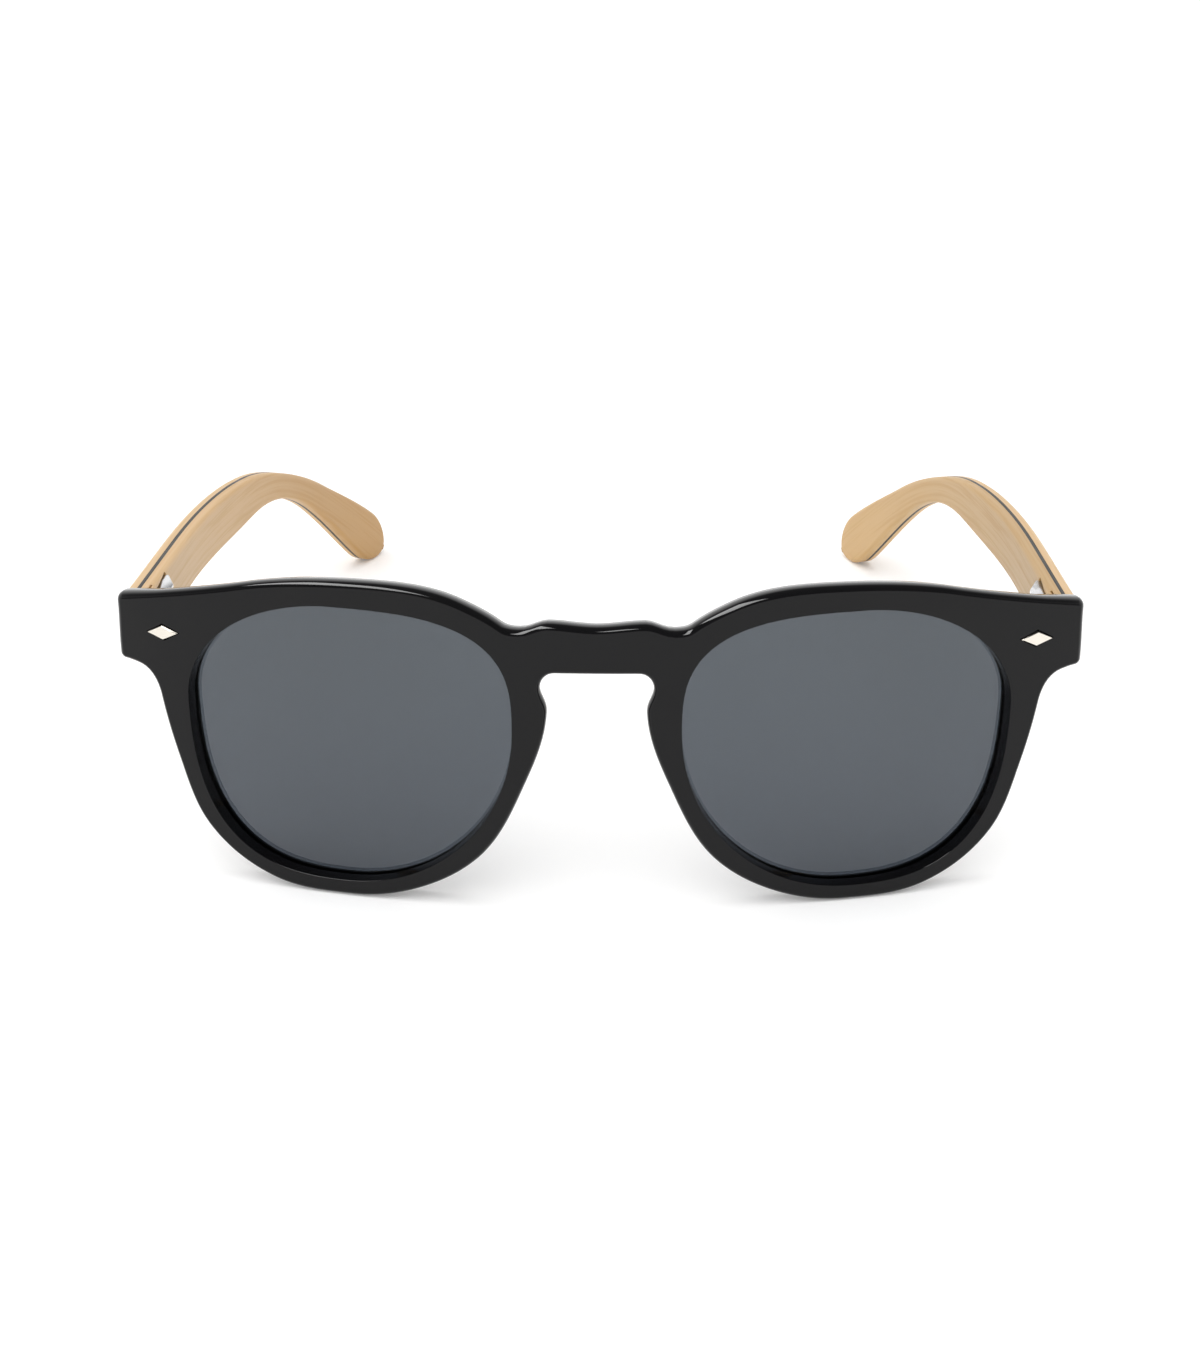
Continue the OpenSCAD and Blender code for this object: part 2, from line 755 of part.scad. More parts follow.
module ply(n_from, n_to, round_from, round_to) {
    sections = [
        for (i = [0 : len(BOARD_U) - 1])
            [for (p = ply_section(n_from, n_to, board_height(BOARD_U[i]), round_from, round_to))
                board_point(i, p[0], p[1])]
    ];
    m = len(sections[0]);
    last = (len(sections) - 1) * m;
    polyhedron(
        points = [for (s = sections) each s],
        faces = concat(
            [for (k = [1 : m - 2]) [0, k + 1, k]],
            [
                for (i = [0 : len(sections) - 2])
                    for (k = [0 : m - 1])
                        let (a = i * m, b = a + m, n = (k + 1) % m)
                        each [[a + k, a + n, b + n], [a + k, b + n, b + k]]
            ],
            [for (k = [1 : m - 2]) [last, last + k, last + k + 1]]
        )
    );
}

module outer_ply() {
    color([0.85, 0.72, 0.53]) ply(-outer_t, 0, false, true);
}

module core_ply() {
    color([0.3, 0.26, 0.24]) ply(-outer_t - core_t, -outer_t, false, false);
}

// The inner ply has the pocket of the housing and the slot that the slider runs in
module inner_ply() {
    pocket_h = housing_h + 2 * seat_gap;
    slot_h = mid_knuckle_h + 0.2;
    color([0.83, 0.7, 0.52])
        difference() {
            ply(-temple_t, -outer_t - core_t, true, false);
            translate([axis_x, axis_y, hinge_z]) {
                translate([0, housing_from - seat_gap, -pocket_h / 2])
                    cube([axis_in + housing_sunk + seat_gap,
                          housing_to - housing_from + 2 * seat_gap, pocket_h]);
                translate([0, -axis_back, -slot_h / 2])
                    cube([slide_x + block_w / 2 + 2 * seat_gap, axis_back + housing_from, slot_h]);
            }
        }
}

// Depth of the glasses, from the face of the bridge to the temple tips
depth = max([
    for (i = [0 : len(BOARD_U) - 1])
        for (side = [-0.5, 0, 0.5]) board_point(i, 0, side * board_height(BOARD_U[i]))[1]
]);

// The glasses stand with their middle over the origin
module centred() {
    translate([0, -depth / 2, 0]) children();
}

module right() {
    mirror([1, 0, 0]) centred() children();
}

centred() front_frame();
centred() lens();  // left_lens
right() lens();  // right_lens
centred() diamond_rivet();  // left_diamond_rivet
right() diamond_rivet();  // right_diamond_rivet
centred() hinge_leaf();  // left_hinge_leaf
right() hinge_leaf();  // right_hinge_leaf
centred() hinge_screw();  // left_hinge_screw
right() hinge_screw();  // right_hinge_screw
centred() flex_slider();  // left_flex_slider
right() flex_slider();  // right_flex_slider
centred() flex_spring();  // left_flex_spring
right() flex_spring();  // right_flex_spring
centred() spring_cap();  // left_spring_cap
right() spring_cap();  // right_spring_cap
centred() flex_housing();  // left_flex_housing
right() flex_housing();  // right_flex_housing
centred() outer_ply();  // left_temple_outer_ply
right() outer_ply();  // right_temple_outer_ply
centred() core_ply();  // left_temple_core_ply
right() core_ply();  // right_temple_core_ply
centred() inner_ply();  // left_temple_inner_ply
right() inner_ply();  // right_temple_inner_ply
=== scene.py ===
"""Round keyhole sunglasses with laminated wooden temples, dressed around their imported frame.

Sizes are in millimetres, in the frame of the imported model: X runs across the face towards
the wearer's left, Y from the front towards the ears, Z up from the table. A mesh is scaled
to metres when it is made. The left side is built first and the right side mirrors it.
"""

import logging
import math
from dataclasses import dataclass, field
from enum import Enum
from typing import Iterable, Sequence, TypeVar

import bmesh
import bpy
from mathutils import Matrix, Vector


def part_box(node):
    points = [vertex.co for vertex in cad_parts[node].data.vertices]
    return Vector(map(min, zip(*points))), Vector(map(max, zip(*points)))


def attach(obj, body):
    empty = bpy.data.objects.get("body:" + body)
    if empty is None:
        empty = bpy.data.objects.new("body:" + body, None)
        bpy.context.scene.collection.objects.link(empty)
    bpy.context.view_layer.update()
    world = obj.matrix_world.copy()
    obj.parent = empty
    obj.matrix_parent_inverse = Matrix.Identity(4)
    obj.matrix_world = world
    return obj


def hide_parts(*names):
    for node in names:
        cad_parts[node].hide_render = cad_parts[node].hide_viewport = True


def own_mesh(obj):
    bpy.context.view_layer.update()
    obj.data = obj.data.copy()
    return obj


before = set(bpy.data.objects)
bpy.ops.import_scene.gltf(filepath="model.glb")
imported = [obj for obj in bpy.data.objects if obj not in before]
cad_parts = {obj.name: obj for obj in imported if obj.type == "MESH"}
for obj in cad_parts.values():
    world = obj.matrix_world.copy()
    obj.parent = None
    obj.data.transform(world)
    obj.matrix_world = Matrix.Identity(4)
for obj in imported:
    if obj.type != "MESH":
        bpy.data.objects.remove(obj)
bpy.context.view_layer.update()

LOG = logging.getLogger("sunglasses")
MM = 0.001

# Angles in degrees between two faces: the shading stays sharp above SHARP on a piece that has
# no angle of its own, and a bevel rounds the edges above HARD_EDGE
SHARP = 35.0
HARD_EDGE = 32.0

# How far the middle of a board's hinge end lies below the hinge's own middle, in millimetres
BOARD_DROP = 0.4

# A linear colour as red, green and blue
Tone = tuple[float, float, float]

# A number or a place, for a blend between two of the same kind
Blended = TypeVar("Blended", float, Vector)

# What a node's input takes: the socket that feeds it, or a constant
Feed = bpy.types.NodeSocket | Vector | tuple | float | str

# The face of the bridge, in millimetres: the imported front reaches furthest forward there
FACE_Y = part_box("front_frame")[0].y / MM


class Side(Enum):
    """The wearer's two sides, with the sign of X on each."""

    LEFT = 1
    RIGHT = -1

    @property
    def word(self) -> str:
        """The side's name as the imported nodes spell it."""
        return self.name.lower()


# Curves through stations


def toward(heading: float) -> Vector:
    """Return the flat unit vector of a heading in degrees."""
    return Vector((math.cos(math.radians(heading)), math.sin(math.radians(heading))))


def blend(p: Blended, q: Blended, mp: Blended, mq: Blended, t: float) -> Blended:
    """Return the Hermite blend between two values.

    Args:
        p: Value at the start.
        q: Value at the end.
        mp: Slope at the start.
        mq: Slope at the end.
        t: Place between them, from 0 to 1.

    Returns:
        The blended value, of the same kind as p.
    """
    return (
        (2 * t**3 - 3 * t**2 + 1) * p
        + (t**3 - 2 * t**2 + t) * mp
        + (3 * t**2 - 2 * t**3) * q
        + (t**3 - t**2) * mq
    )


def blend_travel(p: Blended, q: Blended, mp: Blended, mq: Blended, t: float) -> Blended:
    """Return the direction of travel of the same blend.

    Args:
        p: Value at the start.
        q: Value at the end.
        mp: Slope at the start.
        mq: Slope at the end.
        t: Place between them, from 0 to 1.

    Returns:
        The rate of change of the blend at t.
    """
    return (
        6 * (t - t**2) * (q - p) + (3 * t**2 - 4 * t + 1) * mp + (3 * t**2 - 2 * t) * mq
    )


def smooth_at(stations: Sequence[tuple[float, float]], x: float) -> float:
    """Return the value of a smooth line through stations.

    Args:
        stations: Pairs of place and value, in rising order of place.
        x: Place to read.

    Returns:
        The value at x.
    """
    last = len(stations) - 1

    def slope(i: int) -> float:
        """Return the slope of the line at station i."""
        low, high = stations[max(i - 1, 0)], stations[min(i + 1, last)]
        return (high[1] - low[1]) / (high[0] - low[0])

    i = next((k for k in range(last - 1) if x <= stations[k + 1][0]), last - 1)
    (x0, v0), (x1, v1) = stations[i], stations[i + 1]
    width = x1 - x0
    return blend(v0, v1, slope(i) * width, slope(i + 1) * width, (x - x0) / width)


def arc_points(radius: float, steps: int) -> list[tuple[float, float]]:
    """Return a quarter round between two faces.

    Args:
        radius: Radius of the round.
        steps: Segments in the quarter.

    Returns:
        Pairs of distance in from the first face and from the second.
    """
    turns = [math.pi / 2 * i / steps for i in range(steps + 1)]
    return [(radius * (1 - math.cos(t)), radius * (1 - math.sin(t))) for t in turns]


# Mesh helpers


def linked(name: str, data: bpy.types.ID) -> bpy.types.Object:
    """Make an object of a mesh, light or camera.

    Args:
        name: Name of the object.
        data: Mesh, light or camera that it shows.

    Returns:
        The object, linked to the scene.
    """
    made = bpy.data.objects.new(name, data)
    bpy.context.scene.collection.objects.link(made)
    return made


def mesh_object(
    name: str, points: Iterable[Vector], faces: Iterable[Sequence[int]], sharp: float = SHARP
) -> bpy.types.Object:
    """Make an object of a mesh given in millimetres.

    Args:
        name: Name of the object.
        points: Corners, in millimetres in the row frame.
        faces: Corner numbers of each face.
        sharp: Angle in degrees above which an edge stays sharp.

    Returns:
        The object, linked to the scene.
    """
    mesh = bpy.data.meshes.new(name)
    mesh.from_pydata([Vector(p) * MM for p in points], [], [tuple(f) for f in faces])
    made = linked(name, mesh)
    tidy_mesh(made, sharp)
    return made


def tidy_mesh(piece: bpy.types.Object, sharp: float = SHARP, merge: float = 0.0005) -> None:
    """Close seams, point faces outwards and smooth a mesh.

    Args:
        piece: Object to tidy.
        sharp: Angle in degrees above which an edge stays sharp.
        merge: Distance in millimetres within which corners become one.
    """
    work = bmesh.new()
    work.from_mesh(piece.data)
    bmesh.ops.remove_doubles(work, verts=work.verts, dist=merge * MM)
    loose = [v for v in work.verts if not v.link_faces]
    bmesh.ops.delete(work, geom=loose, context="VERTS")
    bmesh.ops.recalc_face_normals(work, faces=work.faces)
    work.to_mesh(piece.data)
    work.free()
    smooth(piece, sharp)


def smooth(piece: bpy.types.Object, sharp: float) -> None:
    """Shade a piece smooth, except across edges sharper than the angle in degrees."""
    piece.data.shade_smooth()
    piece.data.set_sharp_from_angle(angle=math.radians(sharp))


def mirrored(piece: bpy.types.Object, name: str) -> bpy.types.Object:
    """Return a copy of a piece mirrored across the middle of the glasses.

    Args:
        piece: Piece of the left side.
        name: Name of the copy.

    Returns:
        The mirrored object, with its faces pointing outwards.
    """
    mesh = piece.data.copy()
    mesh.transform(Matrix.Scale(-1, 4, Vector((1, 0, 0))))
    mesh.flip_normals()
    return linked(name, mesh)


def bake_modifiers(piece: bpy.types.Object) -> None:
    """Turn a piece's evaluated modifiers into its plain mesh.

    Args:
        piece: Object whose modifiers are applied and removed.
    """
    bpy.context.view_layer.update()
    graph = bpy.context.evaluated_depsgraph_get()
    mesh = bpy.data.meshes.new_from_object(piece.evaluated_get(graph))
    piece.modifiers.clear()
    old = piece.data
    piece.data = mesh
    bpy.data.meshes.remove(old)


def cut(piece: bpy.types.Object, cutter: bpy.types.Object) -> None:
    """Cut a cutter out of a piece, and remove the cutter.

    Args:
        piece: Object that is cut.
        cutter: Closed solid that is taken out of it.
    """
    work = piece.modifiers.new("cut", "BOOLEAN")
    work.operation = "DIFFERENCE"
    work.solver = "EXACT"
    work.object = cutter
    bake_modifiers(piece)
    bpy.data.objects.remove(cutter)


def soften_edges(piece: bpy.types.Object, width: float, segments: int = 3) -> None:
    """Round the sharp edges of a hard piece.

    Args:
        piece: Object whose edges are rounded.
        width: Width of the round in millimetres.
        segments: Segments in each round.
    """
    work = piece.modifiers.new("soften", "BEVEL")
    work.width = width * MM
    work.segments = segments
    work.limit_method = "ANGLE"
    work.angle_limit = math.radians(HARD_EDGE)
    work.harden_normals = True
    bake_modifiers(piece)
    smooth(piece, HARD_EDGE)


def lathe(
    name: str, profile: Sequence[tuple[float, float]], axis: Vector, segments: int = 40
) -> bpy.types.Object:
    """Turn a profile about an upright axis.

    Args:
        name: Name of the object.
        profile: Pairs of radius and height in millimetres, from bottom to top.
        axis: Point of the axis, in millimetres.
        segments: Segments in a full turn.

    Returns:
        The turned object.
    """
    turns = [2 * math.pi * k / segments for k in range(segments)]
    points = [
        Vector((axis.x + r * math.cos(t), axis.y + r * math.sin(t), z))
        for r, z in profile
        for t in turns
    ]
    last = (len(profile) - 1) * segments
    faces = []
    for row in range(0, last, segments):
        for k in range(segments):
            m = (k + 1) % segments
            faces.append((row + k, row + m, row + segments + m, row + segments + k))
    faces.append(tuple(range(segments)))
    faces.append(tuple(range(last, last + segments)))
    return mesh_object(name, points, faces)


def block(name: str, low: Vector, high: Vector) -> bpy.types.Object:
    """Make a box, for cutting.

    Args:
        name: Name of the object.
        low: Its lowest corner in millimetres.
        high: Its highest corner in millimetres.

    Returns:
        The box.
    """
    corners = [
        Vector((x, y, z))
        for x in (low.x, high.x)
        for y in (low.y, high.y)
        for z in (low.z, high.z)
    ]
    sides = [(0, 1, 3, 2), (4, 6, 7, 5), (0, 4, 5, 1), (2, 3, 7, 6), (0, 2, 6, 4), (1, 5, 7, 3)]
    return mesh_object(name, corners, sides)


def copy_of_node(
    node: str, name: str, merge: float = 0.002, flat: float = 0.5
) -> bpy.types.Object:
    """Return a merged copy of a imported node's mesh, to be finished more finely.

    Args:
        node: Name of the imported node.
        name: Name of the copy.
        merge: Distance in millimetres within which corners become one.
        flat: Angle in degrees within which neighbouring faces become one.

    Returns:
        The copy, with its flat faces made whole.
    """
    made = linked(name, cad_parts[node].data.copy())
    made.data.materials.clear()
    work = bmesh.new()
    work.from_mesh(made.data)
    bmesh.ops.remove_doubles(work, verts=work.verts, dist=merge * MM)
    bmesh.ops.dissolve_limit(
        work, angle_limit=math.radians(flat), verts=work.verts, edges=work.edges
    )
    work.to_mesh(made.data)
    work.free()
    return made


# Node trees


class Tree:
    """A node tree that is built call by call."""

    # Numbers of the Mix node's sockets for colours: share, first, second and result
    MIX_SHARE = 0
    MIX_FIRST = 6
    MIX_SECOND = 7
    MIX_RESULT = 2

    def __init__(self, tree: bpy.types.NodeTree) -> None:
        """Keep the tree and clear its nodes."""
        self.tree = tree
        tree.nodes.clear()

    def node(
        self, kind: str, values: dict[str | int, Feed] | None = None, **settings: str
    ) -> bpy.types.Node:
        """Add a node.

        Args:
            kind: Blender's type name of the node.
            values: Input name or number to a value, or to a socket that feeds it.
            settings: Attributes of the node.

        Returns:
            The new node.
        """
        made = self.tree.nodes.new(kind)
        for key, value in settings.items():
            setattr(made, key, value)
        for key, value in (values or {}).items():
            self.feed(made.inputs[key], value)
        return made

    def feed(self, socket: bpy.types.NodeSocket, value: Feed) -> None:
        """Link a socket to an input, or set the input's value.

        Args:
            socket: The input.
            value: Socket that feeds it, or its constant.
        """
        if isinstance(value, bpy.types.NodeSocket):
            self.tree.links.new(value, socket)
        else:
            socket.default_value = value

    def math(self, operation: str, *values: Feed) -> bpy.types.NodeSocket:
        """Return the result of a math node with these inputs."""
        made = self.node("ShaderNodeMath", dict(enumerate(values)), operation=operation)
        return made.outputs[0]

    def vector(self, operation: str, *values: Feed, **named: Feed) -> bpy.types.NodeSocket:
        """Return the result of a vector math node with these inputs."""
        inputs = dict(enumerate(values)) | named
        return self.node("ShaderNodeVectorMath", inputs, operation=operation).outputs[0]

    def mix_colour(self, share: Feed, first: Feed, second: Feed) -> bpy.types.NodeSocket:
        """Mix two colours.

        Args:
            share: Share of the second colour.
            first: First colour.
            second: Second colour.

        Returns:
            The mixed colour.
        """
        made = self.node(
            "ShaderNodeMix",
            {self.MIX_SHARE: share, self.MIX_FIRST: first, self.MIX_SECOND: second},
            data_type="RGBA",
        )
        return made.outputs[self.MIX_RESULT]

    def ramp(self, value: Feed, low: float, high: float) -> bpy.types.NodeSocket:
        """Turn a value into a share that rises smoothly.

        Args:
            value: The value.
            low: Where the share is 0.
            high: Where the share is 1.

        Returns:
            The share.
        """
        made = self.node(
            "ShaderNodeMapRange",
            {"Value": value, "From Min": low, "From Max": high},
            interpolation_type="SMOOTHSTEP",
        )
        return made.outputs[0]


def colour(red: float, green: float, blue: float) -> tuple[float, float, float, float]:
    """Return a linear colour with full alpha."""
    return (red, green, blue, 1.0)


class ShaderGroups:
    """Effects that more than one finish uses, each built once."""

    # Patterns in the veneer: cycles a millimetre along the board, through it and up it, and
    # for the grain lines cycles a line's width
    WANDER = (0.02, 0.12, 0.12)
    LINES = (0.018, 1.0, 1.0)
    FLECKS = (0.5, 9.0, 9.0)
    SLOW_TONE = (0.03, 0.1, 0.1)

    # How far the grain lines wander, in millimetres in the same directions
    SWAY = (0.0, 1.6, 1.6)

    # Noise values between which a line, a fleck, a smear and a hairline fade in
    LINE_FADE = (0.42, 0.68)
    FLECK_FADE = (0.62, 0.74)
    SMEAR_FADE = (0.48, 0.7)
    HAIR_FADE = (0.6, 0.72)

    # Share of the dark tone in a fleck
    FLECK_SHADE = 0.12

    # Roughness of the wood between the grain lines, and how much a line adds
    WOOD_ROUGHNESS = 0.42
    LINE_ROUGHNESS = 0.12

    # Height of the wood as a share of its relief, and how deep lines and flecks sink into it
    WOOD_HEIGHT = 0.5
    PORE_DEPTH = 0.4

    # Cycles a millimetre of the smears, and of the hairlines along each axis
    SMEARS = 0.06
    HAIRS = (0.25, 3.0, 5.0)

    def __init__(self) -> None:
        """Build the groups."""
        self.grain = self._grain()
        self.handling = self._handling()

    @staticmethod
    def _open(
        name: str, inputs: dict[str, Feed], outputs: Sequence[str]
    ) -> tuple[Tree, bpy.types.Node, bpy.types.Node]:
        """Start a group with named sockets.

        Args:
            name: Name of the group.
            inputs: Input name to its default value.
            outputs: Names of the outputs; one that ends in Colour is a colour.

        Returns:
            The tree, its input node and its output node.
        """
        group = bpy.data.node_groups.new(name, "ShaderNodeTree")
        kinds = {tuple: "NodeSocketColor", float: "NodeSocketFloat", Vector: "NodeSocketVector"}
        tree = Tree(group)
        for key, value in inputs.items():
            kind = kinds[type(value)]
            socket = group.interface.new_socket(key, in_out="INPUT", socket_type=kind)
            socket.default_value = value
        for key in outputs:
            kind = "NodeSocketColor" if key.endswith("Colour") else "NodeSocketFloat"
            group.interface.new_socket(key, in_out="OUTPUT", socket_type=kind)
        return tree, tree.node("NodeGroupInput"), tree.node("NodeGroupOutput")

    @staticmethod
    def _noise(
        tree: Tree,
        place: Feed,
        cycles: tuple[float, float, float],
        values: dict[str, Feed] | None = None,
    ) -> bpy.types.Node:
        """Return a noise texture that is stretched along the axes.

        Args:
            tree: Tree that it stands in.
            place: Socket of the place, in millimetres.
            cycles: Cycles a millimetre along each axis.
            values: Other inputs of the texture.

        Returns:
            The texture's node.
        """
        stretched = tree.vector("MULTIPLY", place, Vector(cycles))
        inputs = {"Vector": stretched, "Scale": 1.0} | (values or {})
        return tree.node("ShaderNodeTexNoise", inputs)

    def _grain(self) -> bpy.types.NodeTree:
        """Build the veneer group: grain lines, flecks and slow change of tone along a board.

        Returns:
            The group.
        """
        tree, given, out = self._open(
            "Veneer grain",
            {
                "Place": Vector((0, 0, 0)),
                "Light": colour(0.7, 0.5, 0.3),
                "Dark": colour(0.5, 0.3, 0.15),
                "Line Width": 0.45,
                "Contrast": 0.6,
            },
            ("Colour", "Roughness", "Height"),
        )
        place = given.outputs["Place"]
        wander = self._noise(tree, place, self.WANDER, {"Detail": 2.0}).outputs["Color"]
        sway = tree.vector("MULTIPLY", wander, Vector(self.SWAY))
        bent = tree.vector("ADD", place, sway)
        per_line = tree.math("DIVIDE", 1.0, given.outputs["Line Width"])
        fine = {"Scale": per_line, "Detail": 3.0, "Roughness": 0.6}
        lines = self._noise(tree, bent, self.LINES, fine).outputs[0]
        flecks = self._noise(tree, place, self.FLECKS, {"Detail": 1.0}).outputs[0]
        tone = self._noise(tree, place, self.SLOW_TONE).outputs[0]
        line_mask = tree.ramp(lines, *self.LINE_FADE)
        fleck_mask = tree.ramp(flecks, *self.FLECK_FADE)
        shade = tree.math("MULTIPLY", tree.math("ADD", line_mask, tone), 0.5)
        shade = tree.math("MULTIPLY", shade, given.outputs["Contrast"])
        shade = tree.math("ADD", shade, tree.math("MULTIPLY", fleck_mask, self.FLECK_SHADE))
        mixed = tree.mix_colour(shade, given.outputs["Light"], given.outputs["Dark"])
        tree.feed(out.inputs["Colour"], mixed)
        extra = tree.math("MULTIPLY", line_mask, self.LINE_ROUGHNESS)
        tree.feed(out.inputs["Roughness"], tree.math("ADD", self.WOOD_ROUGHNESS, extra))
        line_pores = tree.math("MULTIPLY", line_mask, self.PORE_DEPTH)
        fleck_pores = tree.math("MULTIPLY", fleck_mask, self.PORE_DEPTH)
        height = tree.math("SUBTRACT", self.WOOD_HEIGHT, line_pores)
        tree.feed(out.inputs["Height"], tree.math("SUBTRACT", height, fleck_pores))
        return tree.tree

    def _handling(self) -> bpy.types.NodeTree:
        """Build the handling group: fine hairlines and faint smears on a polished surface.

        Returns:
            The group.
        """
        tree, given, out = self._open(
            "Handling marks",
            {"Roughness": 0.1, "Smear": 0.05, "Hairline": 0.04},
            ("Roughness", "Height", "Mask"),
        )
        metres = tree.node("ShaderNodeTexCoord").outputs["Object"]
        place = tree.vector("MULTIPLY", metres, Vector((1 / MM,) * 3))
        smear = tree.node(
            "ShaderNodeTexNoise", {"Vector": place, "Scale": self.SMEARS, "Detail": 4.0}
        ).outputs[0]
        hair = self._noise(tree, place, self.HAIRS, {"Detail": 5.0}).outputs[0]
        smear_mask = tree.ramp(smear, *self.SMEAR_FADE)
        hair_mask = tree.ramp(hair, *self.HAIR_FADE)
        smeared = tree.math("MULTIPLY", smear_mask, given.outputs["Smear"])
        scratched = tree.math("MULTIPLY", hair_mask, given.outputs["Hairline"])
        rough = tree.math("ADD", given.outputs["Roughness"], smeared)
        rough = tree.math("ADD", rough, scratched)
        tree.feed(out.inputs["Roughness"], rough)
        tree.feed(out.inputs["Height"], tree.math("MULTIPLY", hair_mask, -1.0))
        tree.feed(out.inputs["Mask"], smear_mask)
        return tree.tree


def new_material(name: str) -> tuple[Tree, bpy.types.Node, bpy.types.Material]:
    """Start a material.

    Args:
        name: Name of the material.

    Returns:
        Its tree, its principled shader and the material.
    """
    made = bpy.data.materials.new(name)
    made.use_nodes = True
    tree = Tree(made.node_tree)
    shader = tree.node("ShaderNodeBsdfPrincipled")
    end = tree.node("ShaderNodeOutputMaterial")
    tree.feed(end.inputs["Surface"], shader.outputs[0])
    return tree, shader, made


def group_node(
    tree: Tree, group: bpy.types.NodeTree, values: dict[str, Feed]
) -> bpy.types.Node:
    """Place a shader group in a material.

    Args:
        tree: Tree of the material.
        group: The group.
        values: Input name to a value, or to a socket that feeds it.

    Returns:
        The group's node.
    """
    made = tree.tree.nodes.new("ShaderNodeGroup")
    made.node_tree = group
    for key, value in values.items():
        tree.feed(made.inputs[key], value)
    return made


def bump_from(
    tree: Tree, shader: bpy.types.Node, height: bpy.types.NodeSocket, depth: float
) -> None:
    """Feed a shader's normal from a height map.

    Args:
        tree: Tree of the material.
        shader: Shader whose normal is fed.
        height: Socket of the height map.
        depth: Depth of the relief in millimetres.
    """
    relief = {"Height": height, "Distance": depth * MM, "Strength": 1.0}
    bump = tree.node("ShaderNodeBump", relief)
    tree.feed(shader.inputs["Normal"], bump.outputs[0])


@dataclass(frozen=True)
class PolishedPlastic:
    """Finish of the moulded front: deep charcoal black under a high polish."""

    name: str = "charcoal_front"
    base: Tone = (0.0030, 0.0029, 0.0034)
    smeared: Tone = (0.0042, 0.0040, 0.0042)
    roughness: float = 0.05
    smear: float = 0.03
    hairline: float = 0.02
    relief: float = 0.0004
    ior: float = 1.47
    gloss: float = 0.265

    def make(self, groups: ShaderGroups) -> bpy.types.Material:
        """Make the material.

        Args:
            groups: The shared effects.

        Returns:
            The material.
        """
        tree, shader, made = new_material(self.name)
        marks = group_node(
            tree,
            groups.handling,
            {"Roughness": self.roughness, "Smear": self.smear, "Hairline": self.hairline},
        )
        mixed = tree.mix_colour(marks.outputs["Mask"], colour(*self.base), colour(*self.smeared))
        tree.feed(shader.inputs["Base Color"], mixed)
        tree.feed(shader.inputs["Roughness"], marks.outputs["Roughness"])
        shader.inputs["IOR"].default_value = self.ior
        shader.inputs["Specular IOR Level"].default_value = self.gloss
        bump_from(tree, shader, marks.outputs["Height"], self.relief)
        return made


@dataclass(frozen=True)
class TintedLens:
    """Finish of the lenses: cool grey tint with polished faces, a little bluer low down."""

    name: str = "grey_lens"
    upper: Tone = (0.070, 0.082, 0.096)
    lower: Tone = (0.070, 0.082, 0.100)
    low_z: float = 4.0
    high_z: float = 46.0
    smear: float = 0.02
    ior: float = 1.5

    def make(self, groups: ShaderGroups) -> bpy.types.Material:
        """Make the material.

        Args:
            groups: The shared effects.

        Returns:
            The material.
        """
        tree, shader, made = new_material(self.name)
        place = tree.node("ShaderNodeTexCoord").outputs["Object"]
        height = tree.node("ShaderNodeSeparateXYZ", {0: place}).outputs["Z"]
        rise = tree.ramp(height, self.low_z * MM, self.high_z * MM)
        mixed = tree.mix_colour(rise, colour(*self.lower), colour(*self.upper))
        tree.feed(shader.inputs["Base Color"], mixed)
        marks = group_node(
            tree, groups.handling, {"Roughness": 0.0, "Smear": self.smear, "Hairline": 0.0}
        )
        tree.feed(shader.inputs["Roughness"], marks.outputs["Roughness"])
        shader.inputs["IOR"].default_value = self.ior
        shader.inputs["Transmission Weight"].default_value = 1.0
        return made


@dataclass(frozen=True)
class Metal:
    """Finish of a metal piece, from bright polish to satin."""

    name: str
    base: Tone
    shadow: Tone
    roughness: float
    smear: float
    relief: float

    def make(self, groups: ShaderGroups) -> bpy.types.Material:
        """Make the material.

        Args:
            groups: The shared effects.

        Returns:
            The material.
        """
        tree, shader, made = new_material(self.name)
        marks = group_node(
            tree,
            groups.handling,
            {"Roughness": self.roughness, "Smear": self.smear, "Hairline": self.smear},
        )
        mixed = tree.mix_colour(marks.outputs["Mask"], colour(*self.base), colour(*self.shadow))
        tree.feed(shader.inputs["Base Color"], mixed)
        tree.feed(shader.inputs["Roughness"], marks.outputs["Roughness"])
        shader.inputs["Metallic"].default_value = 1.0
        bump_from(tree, shader, marks.outputs["Height"], self.relief)
        return made


